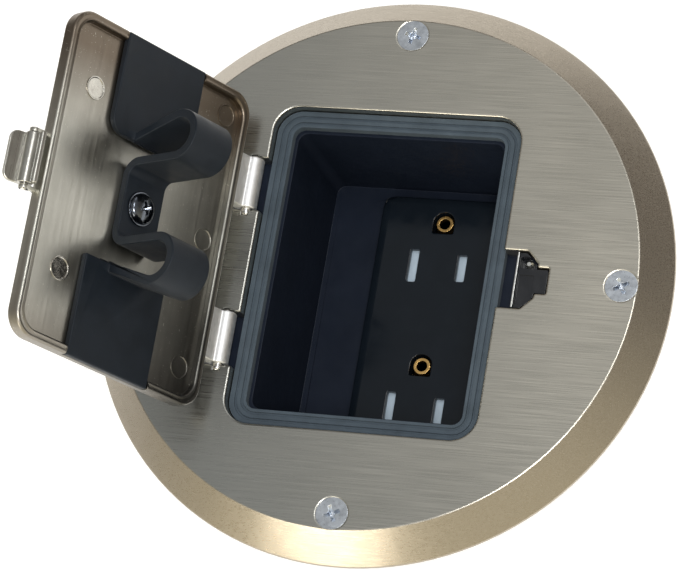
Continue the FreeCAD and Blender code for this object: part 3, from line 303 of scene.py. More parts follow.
@dataclass(frozen=True)
class Metal(Finish):
    """Plated or bare metal, brushed one way or satin all over.

    Attributes:
        grain: brushing direction.
        grain_scale: brush lines per mm across the brushing, over the grain's own factor.
        grain_depth: how strongly the lines show, 0 to 1.
        scratches: share of bright hairlines.
        stain_and_shade: colour of the tarnish towards the piece's ends, and of the painted shade on the outer
            band.
        stain_middle: place along Y of the clean middle.
        stain_reach: distance from that middle at which the tarnish is full, or 0 for none.
        painted_shade_band_from: radius beyond which the colour is painted darker and browner as painted shade, or
            0 for none.
        painted_shade_way: direction along which the colour is painted darker as painted shade, or zeros for none.
        painted_shade_from: distance along it at which the painted shade starts.
        painted_shade_to: distance along it at which the painted shade is darkest.
        painted_shade_colour: the darkest colour of the painted shade.
        hairs: scale, turn and threshold of each set of hairlines.
    """

    # Tones of the metal in a brush line and in a hairline, shares of tarnish and of the painted
    # shade on the outer band, the blur of that band, and the strength of the bump.
    line_tone = 0.45
    line_share = 0.35
    stain_start = 0.45
    stain_most = 0.85
    painted_shade_band_most = 0.8
    painted_shade_band_blur = 0.2
    hairs: ClassVar[tuple[tuple[Triple, Triple, float], ...]] = (
        ((0.02, 2.4, 2.4), (17.0, 23.0, 31.0), 0.70),
        ((2.1, 0.03, 2.1), (-21.0, 14.0, 12.0), 0.71),
    )
    hair_edge = 0.04
    hair_tone = 1.7
    bump_least = 0.12
    bump_gain = 0.3
    grain: Grain = Grain.NONE
    grain_scale: float = 0.10
    grain_depth: float = 0.5
    scratches: float = 0.0
    stain_and_shade: Colour = (0.2, 0.14, 0.09)
    stain_middle: float = 0.0
    stain_reach: float = 0.0
    painted_shade_band_from: float = 0.0
    painted_shade_way: Triple = (0.0, 0.0, 0.0)
    painted_shade_from: float = 0.0
    painted_shade_to: float = 0.0
    painted_shade_colour: Colour = (0.1, 0.1, 0.1)

    def fill(self, graph: Graph, coords: Socket, shader: bpy.types.Node) -> None:
        """Links the metal to its shader; Finish.fill has the arguments."""
        lines = graph.noise(coords, [s * self.grain_scale for s in self.grain.value], detail=5.0)
        dark = graph.between(lines, self.grain_depth * self.line_share, 0.0)
        colour = graph.mix(dark, self.patches(graph, coords), shade(self.colour, self.line_tone))
        if self.stain_reach:
            place = graph.node("SeparateXYZ", {0: coords}).outputs[1]
            away = graph.compute("SUBTRACT", place, self.stain_middle * MM)
            reach = self.stain_reach * MM
            amount = graph.between(graph.compute("ABSOLUTE", away), 0.0, self.stain_most,
                                   reach * self.stain_start, reach)
            colour = graph.mix(amount, colour, self.stain_and_shade)
        # Painted shade: the colour darkens along a direction, standing in for light falling off over the piece.
        if any(self.painted_shade_way):
            along = graph.node("VectorMath", {0: coords, 1: self.painted_shade_way}, operation="DOT_PRODUCT")
            amount = graph.between(along.outputs["Value"], 0.0, 1.0, self.painted_shade_from * MM,
                                   self.painted_shade_to * MM)
            colour = graph.mix(amount, colour, self.painted_shade_colour)
        # Painted shade: beyond a radius the colour turns darker and browner, standing in for the shade on the
        # sloped outer band.
        if self.painted_shade_band_from:
            flat = graph.node("VectorMath", {0: coords, 1: (1.0, 1.0, 0.0)}, operation="MULTIPLY")
            radius = graph.node("VectorMath", {0: flat.outputs[0]}, operation="LENGTH")
            amount = graph.between(radius.outputs["Value"], 0.0, self.painted_shade_band_most,
                                   (self.painted_shade_band_from - self.painted_shade_band_blur) * MM,
                                   (self.painted_shade_band_from + self.painted_shade_band_blur) * MM)
            colour = graph.mix(amount, colour, self.stain_and_shade)
        height = lines
        if self.scratches:
            one, other = (graph.between(graph.noise(coords, scale, 2.0, turn), 0.0, 1.0,
                                        start, start + self.hair_edge)
                          for scale, turn, start in self.hairs)
            both = graph.compute("MULTIPLY", graph.compute("MAXIMUM", one, other), self.scratches)
            colour = graph.mix(both, colour, shade(self.colour, self.hair_tone))
            height = graph.compute("SUBTRACT", lines, both)
        shader.inputs["Metallic"].default_value = 1.0
        strength = self.bump_least + self.bump_gain * self.grain_depth
        self.dress(graph, shader, colour, lines, height, strength)


@dataclass(frozen=True)
class Moulding(Finish):
    """Moulded plastic, rubber or foam.

    Attributes:
        texture: size of the fine surface texture.
        depth: how strongly the texture shows.
        dust: share of pale dust that lies on the surface.
        dust_colour: colour of that dust.
        specular: strength of the surface's gloss.
        sheen: soft glow at grazing angles.
        dust_range: factors at which the dust starts and is full.
    """

    smoother = 0.07
    rougher = 0.10
    bump_height = 0.00008
    cloud_scale = 0.22
    cloud_turn: ClassVar[Triple] = (20.0, 35.0, 50.0)
    dust_range: ClassVar[tuple[float, float]] = (0.45, 0.8)
    texture: float = 0.25
    depth: float = 0.15
    dust: float = 0.1
    dust_colour: Colour = (0.30, 0.30, 0.31)
    specular: float = 0.5
    sheen: float = 0.0

    def fill(self, graph: Graph, coords: Socket, shader: bpy.types.Node) -> None:
        """Links the moulding to its shader; Finish.fill has the arguments."""
        fine = 1.0 / self.texture
        speck = graph.noise(coords, (fine,) * 3, detail=2.0)
        cloud = graph.noise(coords, (self.cloud_scale,) * 3, 5.0, self.cloud_turn)
        amount = graph.between(cloud, 0.0, self.dust, *self.dust_range)
        colour = graph.mix(amount, self.patches(graph, coords), self.dust_colour)
        self.dress(graph, shader, colour, cloud, speck, self.depth)
        shader.inputs["Specular IOR Level"].default_value = self.specular
        shader.inputs["Sheen Weight"].default_value = self.sheen


class Finishes(Enum):
    """Finishes of the object, each named for what wears it.

    After colour, roughness, patchiness and patch, metals go on with grain, grain_scale,
    grain_depth, scratches, stain, stain_middle and stain_reach, and mouldings with texture,
    depth, dust, dust_colour, specular and sheen.
    """

    # The plate's colour is painted darker towards its left and lower side, and darker and browner on its sloped
    # outer band, as painted shade.
    PLATE = Metal("plate_nickel", (0.655, 0.62, 0.54), 0.29, 0.08, 34.0, Grain.ALONG_X, 0.15, 0.36,
                  stain_and_shade=(0.41, 0.355, 0.285), painted_shade_band_from=65.5, painted_shade_way=(-0.9, -0.35, 0.0),
                  painted_shade_from=-50.0, painted_shade_to=58.0, painted_shade_colour=(0.395, 0.40, 0.38))
    # The lid's colour is painted darker towards its lower end and its hinge, as painted shade for the dark
    # surroundings that it reflects.
    LID = Metal("lid_casting", (0.52, 0.51, 0.46), 0.34, 0.16, 14.0, Grain.ALONG_Y, 0.06, 0.60,
                0.5, (0.135, 0.097, 0.066), -8.0, 41.0, painted_shade_way=(0.0, -0.6, -0.9), painted_shade_from=-32.0,
                painted_shade_to=12.0, painted_shade_colour=(0.115, 0.112, 0.105))
    MARK = Metal("lid_pin_mark", (0.56, 0.54, 0.49), 0.24, 0.10, 3.0, Grain.NONE, 0.08, 0.12, 0.2)
    KNUCKLE = Metal("knuckle_zinc", (0.98, 0.99, 1.0), 0.50, 0.05, 4.0, Grain.NONE, 0.10, 0.15, 0.2)
    PIN = Metal("pin_steel", (0.78, 0.77, 0.75), 0.22, 0.06, 2.0)
    LATCH = Metal("latch_zinc", (0.51, 0.50, 0.46), 0.30, 0.12, 5.0, Grain.ALONG_Y, 0.12, 0.3, 0.2)
    COVER_SCREW = Metal("cover_screw_steel", (0.68, 0.72, 0.78), 0.30, 0.20, 2.5, Grain.NONE, 0.12,
                        0.2)
    GUARD_FIXING = Metal("guard_fixing_steel", (0.15, 0.165, 0.19), 0.16, 0.12, 2.5)
    YOKE = Metal("yoke_steel", (0.52, 0.53, 0.54), 0.34, 0.12, 8.0, Grain.ALONG_Y, 0.05, 0.3, 0.2)
    FIXING = Metal("fixing_steel", (0.56, 0.57, 0.60), 0.26, 0.10, 2.0)
    KEEPER_STEEL = Metal("keeper_steel", (0.86, 0.86, 0.83), 0.24, 0.08, 3.0, Grain.ALONG_Y, 0.15,
                         0.3)
    BRASS = Metal("contact_brass", (0.90, 0.56, 0.20), 0.26, 0.12, 2.0)
    TERMINAL_STEEL = Metal("terminal_steel", (0.60, 0.60, 0.60), 0.28, 0.10, 2.0)
    TERMINAL_BRASS = Metal("terminal_brass", (0.62, 0.42, 0.18), 0.28, 0.10, 2.0)
    GUARD = Moulding("guard_rubber", (0.0085, 0.0125, 0.0185), 0.44, 0.15, 9.0, 0.18, 0.12, 0.14,
                     (0.045, 0.055, 0.075), 0.22, 0.04)
    GASKET = Moulding("gasket_foam", (0.064, 0.086, 0.108), 0.60, 0.15, 6.0, 0.16, 0.30, 0.12,
                      (0.12, 0.14, 0.17), 0.20, 0.05)
    FLOOR_FOAM = Moulding("floor_foam", (0.022, 0.022, 0.023), 0.75, 0.12, 5.0, 0.3, 0.5, 0.05)
    TUB = Moulding("tub_plastic", (0.0105, 0.0150, 0.0265), 0.42, 0.12, 14.0, 0.3, 0.10, 0.05,
                   (0.04, 0.055, 0.08), 0.15)
    KEEPER_PLASTIC = Moulding("keeper_plastic", (0.009, 0.010, 0.013), 0.20, 0.10, 4.0, 0.3, 0.06,
                              0.08, (0.10, 0.10, 0.11), 0.6)
    FACE = Moulding("face_plastic", (0.0065, 0.0100, 0.0150), 0.14, 0.10, 10.0, 0.35, 0.03, 0.05,
                    (0.035, 0.045, 0.055), 0.30)
    HOUSING = Moulding("housing_plastic", (0.022, 0.022, 0.024), 0.42, 0.10, 9.0, 0.3, 0.15, 0.06)
    SHUTTER = Moulding("shutter_plastic", (0.50, 0.61, 0.71), 0.40, 0.06, 4.0, 0.3, 0.05, 0.05,
                       (0.6, 0.65, 0.70))

    def put_on(self, piece: Piece) -> None:
        """Puts the finish on a piece in place of what it wears.

        Args:
            piece: mesh object to dress.
        """
        if not piece.material_slots:
            piece.data.materials.append(self.value.make())
        for slot in piece.material_slots:
            slot.material = self.value.make()


class Bench:
    """Modelling by hand: operators on one object at a time."""

    @staticmethod
    def leave() -> None:
        """Goes back to object mode."""
        bpy.ops.object.mode_set(mode="OBJECT")

    @staticmethod
    def clear() -> None:
        """Leaves edit mode and selects nothing."""
        if bpy.context.mode != "OBJECT":
            Bench.leave()
        bpy.ops.object.select_all(action="DESELECT")

    @staticmethod
    def pick(piece: Piece) -> None:
        """Makes a piece the only selected and active one.

        Args:
            piece: object to pick.
        """
        Bench.clear()
        piece.select_set(True)
        bpy.context.view_layer.objects.active = piece

    @staticmethod
    def settle(piece: Piece, name: str) -> Piece:
        """Applies the piece's modifiers and place, and names it.

        Args:
            piece: object to finish.
            name: its new name.

        Returns:
            The piece.
        """
        Bench.pick(piece)
        for modifier in list(piece.modifiers):
            bpy.ops.object.modifier_apply(modifier=modifier.name)
        bpy.ops.object.transform_apply(location=True, rotation=True, scale=True)
        piece.name = name
        piece.data.name = name
        return piece

    @staticmethod
    def twin(piece: Piece) -> Piece:
        """Copies a piece with its mesh.

        Args:
            piece: object to copy.

        Returns:
            The copy.
        """
        copy = piece.copy()
        copy.data = piece.data.copy()
        bpy.context.scene.collection.objects.link(copy)
        return copy

    @staticmethod
    def select(piece: Piece, kind: str, test: Test) -> int:
        """Enters edit mode with the vertices, edges or faces that pass a test selected.

        Args:
            piece: object to select in.
            kind: VERT, EDGE or FACE.
            test: takes the middle of one and its normal, or an edge's direction.

        Returns:
            How many are selected.
        """
        Bench.pick(piece)
        bpy.ops.object.mode_set(mode="EDIT")
        modes = tuple(kind == known for known in ("VERT", "EDGE", "FACE"))
        bpy.context.tool_settings.mesh_select_mode = modes
        bpy.ops.mesh.select_all(action="DESELECT")
        Bench.leave()
        mesh = piece.data
        if kind == "VERT":
            items = [(item, item.co, item.normal) for item in mesh.vertices]
        elif kind == "FACE":
            items = [(item, item.center, item.normal) for item in mesh.polygons]
        else:
            ends = [[mesh.vertices[i].co for i in item.vertices] for item in mesh.edges]
            items = [(item, (a + b) / 2, (b - a).normalized())
                     for item, (a, b) in zip(mesh.edges, ends)]
        chosen = [item for item, middle, way in items if test(middle, way)]
        for item in chosen:
            item.select = True
        bpy.ops.object.mode_set(mode="EDIT")
        return len(chosen)

    @staticmethod
    def shift(piece: Piece, test: Test, move: Triple, scale: Triple,
              centre: Vector) -> None:
        """Scales and moves the vertices that pass a test.

        Args:
            piece: piece to change.
            test: takes a vertex's place and normal.
            move: move.
            scale: scale along x, y and z.
            centre: point that the scale keeps, in m.
        """
        count = Bench.select(piece, "VERT", test)
        bpy.ops.transform.resize(value=scale, center_override=centre)
        bpy.ops.transform.translate(value=Vector(move) * MM)
        Bench.leave()
        LOG.info("%s: %d vertices shifted", piece.name, count)

    @staticmethod
    def copy_node(node: str, name: str) -> Piece:
        """Copies a node of the frame as a new, merged piece.

        Args:
            node: node to copy.
            name: name of the piece.

        Returns:
            The piece, with its flat faces whole.
        """
        source = frame["nodes"][node]
        piece = bpy.data.objects.new(name, source.data.copy())
        bpy.context.scene.collection.objects.link(piece)
        Bench.pick(piece)
        piece.data.materials.clear()
        bpy.ops.mesh.customdata_custom_splitnormals_clear()
        bpy.ops.object.mode_set(mode="EDIT")
        bpy.ops.mesh.select_all(action="SELECT")
        bpy.ops.mesh.remove_doubles(threshold=0.005 * MM)
        bpy.ops.mesh.dissolve_limited(angle_limit=math.radians(0.5))
        Bench.leave()
        return piece

    @staticmethod
    def soften(piece: Piece, width: float, segments: int = 2, angle: float = 28.0) -> None:
        """Rounds the sharp edges of a piece.

        Args:
            piece: object to soften.
            width: width of the rounding.
            segments: faces across the rounding.
            angle: smallest turn that counts as an edge.
        """
        Bench.pick(piece)
        bevel = piece.modifiers.new("rounding", "BEVEL")
        bevel.width = width * MM
        bevel.segments = segments
        bevel.limit_method = "ANGLE"
        bevel.angle_limit = math.radians(angle)
        bevel.use_clamp_overlap = False
        bevel.miter_outer = "MITER_ARC"
        bevel.harden_normals = False
        bpy.ops.object.modifier_apply(modifier=bevel.name)
        bpy.ops.object.shade_smooth_by_angle(angle=math.radians(35.0))
        weighted = piece.modifiers.new("even_shading", "WEIGHTED_NORMAL")
        weighted.mode = "FACE_AREA"
        weighted.weight = 100
        weighted.keep_sharp = True
        bpy.ops.object.modifier_apply(modifier=weighted.name)


def add_piece(piece: Piece, body: Body, finish: Finishes, *nodes: str,
              slot: str = "") -> None:
    """Dresses a finished piece, sets it on its body and hides the nodes that it stands for.

    Args:
        piece: finished mesh object.
        body: body that it rides on.
        finish: what it wears.
        nodes: frame nodes that it stands for.
        slot: the record's material slot, where it isn't named as the finish is; not used.
    """
    finish.put_on(piece)
    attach(piece, body.value)
    if nodes:
        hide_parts(*nodes)
    LOG.info("%s: %d faces on %s", piece.name, len(piece.data.polygons), body.value)


def round_node(node: str, name: str, body: Body, finish: Finishes, width: float,
               segments: int = 3, angle: float = CREASE) -> None:
    """Shows a node of the frame with its edges rounded.

    Args:
        node: node to show.
        name: name of the piece.
        body: body that it rides on.
        finish: what it wears.
        width: width of the rounding.
        segments: faces across the rounding.
        angle: smallest turn that counts as an edge.
    """
    piece = Bench.copy_node(node, name)
    Bench.soften(piece, width, segments, angle)
    add_piece(Bench.settle(piece, name), body, finish, node)


@dataclass(frozen=True)
class Lamp:
    """Square soft lamp that points at the object.

    Attributes:
        name: its name.
        place: its place in m.
        side: its side in m.
        power: its power in W.
        colour: its colour.
    """

    name: str
    place: Triple
    side: float
    power: float
    colour: Colour

    def hang(self) -> None:
        """Adds the lamp to the scene."""
        data = bpy.data.lights.new(self.name, "AREA")
        data.shape = "SQUARE"
        data.size = self.side
        data.energy = self.power
        data.color = self.colour
        lamp = bpy.data.objects.new(self.name, data)
        lamp.location = self.place
        lamp.rotation_euler = (-Vector(self.place)).to_track_quat("-Z", "Y").to_euler()
        bpy.context.scene.collection.objects.link(lamp)


@dataclass
class Studio:
    """Floor, lamps, surroundings and camera.

    Attributes:
        lamps: the lamps.
        eye: camera's place.
        turn: camera's turn about x, y and z.
        lens: focal length on a 36 mm wide sensor.
        floor_side: side of the floor in m.
        floor_tone: reflectance of the floor's paper.
        floor_lift: white that the floor shows by itself, from 0 to 1.
        bright_side: direction of the bright wall.
        bright_range: where that wall starts and is full, as a cosine.
        bright_wall: light of that wall.
        dim_wall: light of the walls away from it.
        ceiling: light from above.
        ceiling_range: where the ceiling starts and is full, as a sine.
    """

    lamps: ClassVar[tuple[Lamp, ...]] = (
        Lamp("key_lamp", (0.42, -0.42, 1.30), 0.35, 9.0, (1.0, 0.99, 0.98)),
        Lamp("front_lamp", (-0.45, -1.25, 0.70), 0.7, 7.0, (1.0, 0.94, 0.82)),
        Lamp("back_lamp", (0.3, 1.5, 1.0), 0.8, 1.5, (0.96, 0.98, 1.0)),
        Lamp("edge_lamp", (0.36, 0.30, 1.22), 0.35, 2.4, (1.0, 1.0, 1.0)),
    )
    eye: Triple = (240.421, -247.872, 739.496)
    turn: Triple = (20.294, 15.532, 9.736)
    lens: float = 177.16
    floor_side: float = 6.0
    floor_tone: float = 0.82
    floor_lift: float = 0.48
    bright_side: Triple = (0.12, -0.99, 0.0)
    bright_range: tuple[float, float] = (-0.15, 0.75)
    bright_wall: Colour = (0.90, 0.82, 0.60)
    dim_wall: Colour = (0.20, 0.18, 0.16)
    ceiling: Colour = (0.40, 0.405, 0.40)
    ceiling_range: tuple[float, float] = (0.30, 0.85)

    def build(self) -> None:
        """Sets the whole studio up."""
        bpy.context.scene.view_settings.view_transform = "Standard"
        self.make_camera()
        self.lay_floor()
        self.surround()
        for lamp in self.lamps:
            lamp.hang()

    def make_camera(self) -> None:
        """Makes the camera that the scene is seen by."""
        data = bpy.data.cameras.new("camera")
        data.lens = self.lens
        data.sensor_width = 36.0
        data.clip_end = 20.0
        camera = bpy.data.objects.new("camera", data)
        camera.location = Vector(self.eye) * MM
        camera.rotation_euler = Euler([math.radians(a) for a in self.turn])
        bpy.context.scene.collection.objects.link(camera)
        bpy.context.scene.camera = camera

    def lay_floor(self) -> None:
        """Lays a pale floor under the lowest point of the object."""
        Bench.clear()
        level = CAD_BOX[0][2] - 0.2 * MM
        bpy.ops.mesh.primitive_plane_add(size=self.floor_side, location=(0, 0, level))
        floor = bpy.context.object
        floor.name = "floor"
        material = bpy.data.materials.new("floor_paper")
        material.use_nodes = True
        graph = Graph(material.node_tree)
        coords = graph.node("TexCoord").outputs["Object"]
        tone = graph.between(graph.noise(coords, (0.01,) * 3), 0.0, 1.0)
        paler = self.floor_tone + 0.02
        colour = graph.mix(tone, (self.floor_tone,) * 3, (paler,) * 3)
        paper = graph.node("BsdfDiffuse", {"Color": colour})
        path = graph.node("LightPath").outputs
        seen = graph.compute("ADD", path["Is Camera Ray"], path["Is Glossy Ray"])
        seen = graph.compute("ADD", seen, path["Is Transmission Ray"], use_clamp=True)
        lift = graph.compute("MULTIPLY", seen, self.floor_lift)
        glow = graph.node("Emission", {"Color": (1, 1, 1, 1), "Strength": lift})
        both = graph.node("AddShader", {0: paper.outputs[0], 1: glow.outputs[0]})
        graph.node("OutputMaterial", {"Surface": both.outputs[0]})
        floor.data.materials.append(material)

    def surround(self) -> None:
        """Lights the surroundings, brightest on one side and mixed with the ceiling above."""
        world = bpy.data.worlds.new("surroundings")
        world.use_nodes = True
        bpy.context.scene.world = world
        graph = Graph(world.node_tree)
        place = graph.node("TexCoord").outputs["Generated"]
        front = graph.node("VectorMath", {0: place, 1: self.bright_side}, operation="DOT_PRODUCT")
        amount = graph.between(front.outputs["Value"], 0.0, 1.0, *self.bright_range)
        low = graph.mix(amount, self.dim_wall, self.bright_wall)
        height = graph.node("SeparateXYZ", {0: place}).outputs[2]
        above = graph.between(height, 0.0, 1.0, *self.ceiling_range)
        colour = graph.mix(above, low, self.ceiling)
        glow = graph.node("Background", {"Color": colour, "Strength": 1.0})
        graph.node("OutputWorld", {"Surface": glow.outputs[0]})


@dataclass(frozen=True)
class LidPlane:
    """The lid's own axes: x from the hinge to its free edge, y along the hinge, z outward.

    Attributes:
        hinge: point on the hinge axis, in m.
        turn: angle from the closed lid to the open one, in radians.
    """

    hinge: Vector
    turn: float

    @classmethod
    def of_frame(cls) -> "LidPlane":
        """Reads the plane from the lid's hinge.

        Returns:
            The plane of the open lid.
        """
        joint = next(j for j in frame["joints"] if j["name"] == "lid_hinge")
        return cls(Vector(joint["pos_m"]), math.radians(joint["range_deg"][1]))

    def matrix(self) -> Matrix:
        """Returns the matrix that takes the lid's own axes to the frame's."""
        return Matrix.Translation(self.hinge) @ Matrix.Rotation(-self.turn, 4, "Y")

    def take_in(self, piece: Piece) -> None:
        """Brings a piece that lies in the frame into the lid's own axes.

        Args:
            piece: piece to bring in.
        """
        piece.data.transform(self.matrix().inverted())

    def put_out(self, piece: Piece, name: str) -> Piece:
        """Puts a piece that lies in the lid's own axes back into the frame.

        Args:
            piece: piece to place.
            name: its name.

        Returns:
            The piece, finished.
        """
        piece.matrix_world = self.matrix() @ piece.matrix_world
        return Bench.settle(piece, name)


@dataclass
class Lid:
    """Lid with a grooved rim and the round marks of its casting pins.

    Attributes:
        plane: the lid's own axes.
        rim_level: level of the rim's face over the hinge axis.
        rim_margin: how far off that level a face of the rim may lie.
        field_level: level of the lid's sunk field.
        groove_land: rim left on each side of the groove.
        groove_depth: depth of the groove.
        rounding: rounding of its edges.
        mark_radius: radius of a pin mark.
        mark_height: how far a mark stands out.
        mark_shift: how far the marks lie off the lid's middle along the hinge.
        marks: each mark's place from the hinge axis and the lid's middle, and its finish.
        mark_rings: width and rise of each ring of a mark, from its edge inward.
    """

    marks: ClassVar[tuple[tuple[float, float, Finishes], ...]] = (
        (55.3, 22.7, Finishes.MARK), (55.3, -22.7, Finishes.MARK), (12.1, 32.7, Finishes.LID),
        (12.1, -32.7, Finishes.LID), (12.1, 0.0, Finishes.LID))
    mark_rings: ClassVar[tuple[tuple[float, float], ...]] = (
        (0.28, 0.0), (0.18, -0.17), (1.1, 0.03))
    plane: LidPlane
    rim_level: float = -1.3
    rim_margin: float = 0.02
    field_level: float = 0.5
    groove_land: float = 0.36
    groove_depth: float = 0.25
    rounding: float = 0.22
    mark_radius: float = 2.9
    mark_height: float = 0.2
    mark_shift: float = 1.2

    def build(self) -> None:
        """Models the lid and its marks."""
        self.make_shell()
        first = self.make_mark()
        for number, (along, across, finish) in enumerate(self.marks, 1):
            mark = Bench.twin(first)
            mark.location = Vector((along, across + self.mark_shift, self.field_level)) * MM
            bpy.context.view_layer.update()
            self.plane.put_out(mark, f"lid_pin_mark_{number}")
            add_piece(mark, Body.LID, finish, slot="lid_casting")
        bpy.data.objects.remove(first)

    def make_shell(self) -> None:
        """Models the lid's casting from its node: groove in the rim, rounded edges."""
        shell = Bench.copy_node("lid", "lid_casting")
        self.plane.take_in(shell)
        level, margin = self.rim_level * MM, self.rim_margin * MM
        count = Bench.select(shell, "FACE",
                             lambda c, n: n.z < -FACING and abs(c.z - level) < margin)
        bpy.ops.mesh.inset(thickness=self.groove_land * MM, depth=-self.groove_depth * MM)
        Bench.leave()
        LOG.info("rim faces grooved: %d", count)
        Bench.soften(shell, self.rounding, 2)
        self.plane.put_out(shell, "lid_casting")
        add_piece(shell, Body.LID, Finishes.LID, "lid")

    def make_mark(self) -> Piece:
        """Models one round pin mark: a low ring with a sunk middle.

        Returns:
            The mark at the origin, facing down.
        """
        Bench.clear()
        bpy.ops.mesh.primitive_cylinder_add(vertices=40, radius=self.mark_radius * MM,
                                            depth=2 * self.mark_height * MM)
        mark = bpy.context.object
        Bench.select(mark, "FACE", lambda c, n: n.z < -FACING)
        for width, rise in self.mark_rings:
            bpy.ops.mesh.inset(thickness=width * MM, depth=rise * MM)
        Bench.leave()
        Bench.soften(mark, width=0.04)
        return mark


@dataclass
class CrossScrew:
    """Screw with a cross recess, standing under its own origin, head upwards.

    Attributes:
        head: radius of the head.
        shank: radius of the shank.
        length: whole length under the head's seat.
        dome: height of a domed head over its seat, or 0 for a countersunk one.
        neck: radius of the plain neck.
        neck_length: length of that neck, or 0 for none.
        reach: half the length of the recess.
        pitch: pitch of the thread.
    """

    # Shared by all screws: brim of the head, core under the shank's surface, ridge of the thread,
    # step from neck to core, and the tip's length with its scale.
    brim = 0.25
    root = 0.25
    ridge = 0.30
    shoulder = 0.15
    tip: ClassVar[tuple[float, float]] = (0.5, 0.6)
    # Steps of a domed head, degrees of each, and the travel of a step that only changes the size.
    dome_steps = 8
    dome_turn = 10.0
    flat = 0.001
    # Cutters of the recess: start over the head, blade's depth and width in reaches, scale
    # of its foot, cone's depth in blades and radius in reaches, radius of its tip.
    lead = 0.05
    blade: ClassVar[tuple[float, float]] = (0.8, 0.44)
    blade_foot: ClassVar[tuple[float, float]] = (0.35, 0.55)
    cone: ClassVar[tuple[float, float]] = (1.15, 0.46)
    cone_tip = 0.02
    # Thread's ends off the screw's tip, off the seat and off the head.
    thread_ends: ClassVar[Triple] = (0.9, 0.6, 0.3)
    head: float
    shank: float
    length: float
    dome: float = 0.0
    neck: float = 0.0
    neck_length: float = 0.0
    reach: float = 2.15
    pitch: float = 0.8

    def model(self, name: str) -> Piece:
        """Models the whole screw at the origin.

        Args:
            name: name of the piece.

        Returns:
            The screw.
        """
        screw = self.make_domed() if self.dome else self.make_countersunk()
        self.cut_recess(screw)
        Bench.soften(screw, width=0.07, angle=CREASE)
        thread = self.make_thread()
        Bench.pick(screw)
        thread.select_set(True)
        bpy.ops.object.join()
        return Bench.settle(screw, name)

    def make_round(self, side: int) -> Piece:
        """Adds the round slug that a head starts from.

        Args:
            side: 1 to stand it on the seat and -1 to hang it under the seat.

        Returns:
            The slug.
        """
        Bench.clear()
        bpy.ops.mesh.primitive_cylinder_add(vertices=48, radius=self.head * MM,
                                            depth=self.brim * MM,
                                            location=(0, 0, side * self.brim / 2 * MM))
        bpy.ops.object.transform_apply(location=True)
        return bpy.context.object

    @staticmethod
    def draw(screw: Piece, steps: Iterable[tuple[float, float]], side: int) -> None:
        """Extrudes an end of the slug step by step.

        Args:
            screw: slug to draw out.
            steps: pairs of travel and scale of the new end.
            side: 1 for the upper end and -1 for the lower one.
        """
        Bench.select(screw, "FACE", lambda c, n: n.z * side > FACING)
        for travel, scale in steps:
            move = {"value": (0.0, 0.0, side * travel * MM)}
            bpy.ops.mesh.extrude_region_move(TRANSFORM_OT_translate=move)
            bpy.ops.transform.resize(value=(scale, scale, 1.0))
        Bench.leave()

    def make_countersunk(self) -> Piece:
        """Models a countersunk head with its neck and core.

        Returns:
            The screw without its recess and thread.
        """
        screw = self.make_round(-1)
        narrow = self.neck or self.shank
        slope = self.head - narrow
        core = self.shank - self.root
        plain = self.length - self.neck_length - self.shoulder - self.tip[0]
        self.draw(screw, [(slope, narrow / self.head), (self.neck_length - slope - self.brim, 1.0),
                          (self.shoulder, core / narrow), (plain, 1.0), self.tip], -1)
        return screw

    def make_domed(self) -> Piece:
        """Models a domed head with its core.

        Returns:
            The screw without its recess and thread.
        """
        screw = self.make_round(1)
        angles = [math.radians(self.dome_turn * k) for k in range(self.dome_steps + 1)]
        rise = self.dome - self.brim
        self.draw(screw, [(rise * (math.sin(b) - math.sin(a)), math.cos(b) / math.cos(a))
                          for a, b in zip(angles, angles[1:])], 1)
        core = self.shank - self.root
        self.draw(screw, [(self.flat, core / self.head), (self.length - self.tip[0], 1.0),
                          self.tip], -1)
        return screw

    def cut_recess(self, screw: Piece) -> None:
        """Cuts the tapered cross into the head.

        Args:
            screw: screw to cut.
        """
        top = (self.dome + self.lead) * MM
        depth, width = (share * self.reach * MM for share in self.blade)
        for number in range(2):
            Bench.clear()
            bpy.ops.mesh.primitive_cube_add(size=1.0, location=(0, 0, top - depth / 2))
            blade = bpy.context.object
            blade.scale = (2 * self.reach * MM, width, depth)
            blade.rotation_euler.z = math.radians(90.0 * number)
            bpy.ops.object.transform_apply(location=True, rotation=True, scale=True)
            Bench.select(blade, "FACE", lambda c, n: n.z < -FACING)
            shrink = self.blade_foot if number == 0 else self.blade_foot[::-1]
            bpy.ops.transform.resize(value=(*shrink, 1.0))
            Bench.leave()
            self.subtract(screw, blade)
        Bench.clear()
        deep = self.cone[0] * depth
        bpy.ops.mesh.primitive_cone_add(vertices=16, radius1=self.cone_tip * MM,
                                        radius2=self.cone[1] * self.reach * MM, depth=deep,
                                        location=(0, 0, top - deep / 2))
        self.subtract(screw, bpy.context.object)

    @staticmethod
    def subtract(piece: Piece, cutter: Piece) -> None:
        """Cuts one solid out of another and deletes the cutter.

        Args:
            piece: solid to cut.
            cutter: solid to take away.
        """
        Bench.pick(piece)
        cut = piece.modifiers.new("cut", "BOOLEAN")
        cut.operation = "DIFFERENCE"
        cut.solver = "EXACT"
        cut.object = cutter
        bpy.ops.object.modifier_apply(modifier=cut.name)
        bpy.data.objects.remove(cutter)

    def make_thread(self) -> Piece:
        """Models the thread as a helical ridge.

        Returns:
            The thread.
        """
        off_tip, off_seat, off_head = self.thread_ends
        start = self.length - off_tip
        turns = max(1, int((start - (self.neck_length or off_seat) - off_head) / self.pitch))
        Bench.clear()
        bpy.ops.mesh.primitive_circle_add(vertices=3, radius=self.ridge * MM, fill_type="NOTHING",
                                          rotation=(math.radians(90), math.radians(90), 0),
                                          location=((self.shank - self.ridge) * MM, 0, -start * MM))
        bpy.ops.object.transform_apply(location=True, rotation=True)
        thread = bpy.context.object
        spin = thread.modifiers.new("helix", "SCREW")
        spin.axis = "Z"
        spin.angle = math.tau
        spin.screw_offset = self.pitch * MM
        spin.iterations = turns
        spin.steps = 20
        spin.render_steps = 20
        bpy.ops.object.modifier_apply(modifier=spin.name)
        bpy.ops.object.mode_set(mode="EDIT")
        bpy.ops.mesh.select_all(action="SELECT")
        bpy.ops.mesh.normals_make_consistent(inside=False)
        Bench.leave()
        return thread


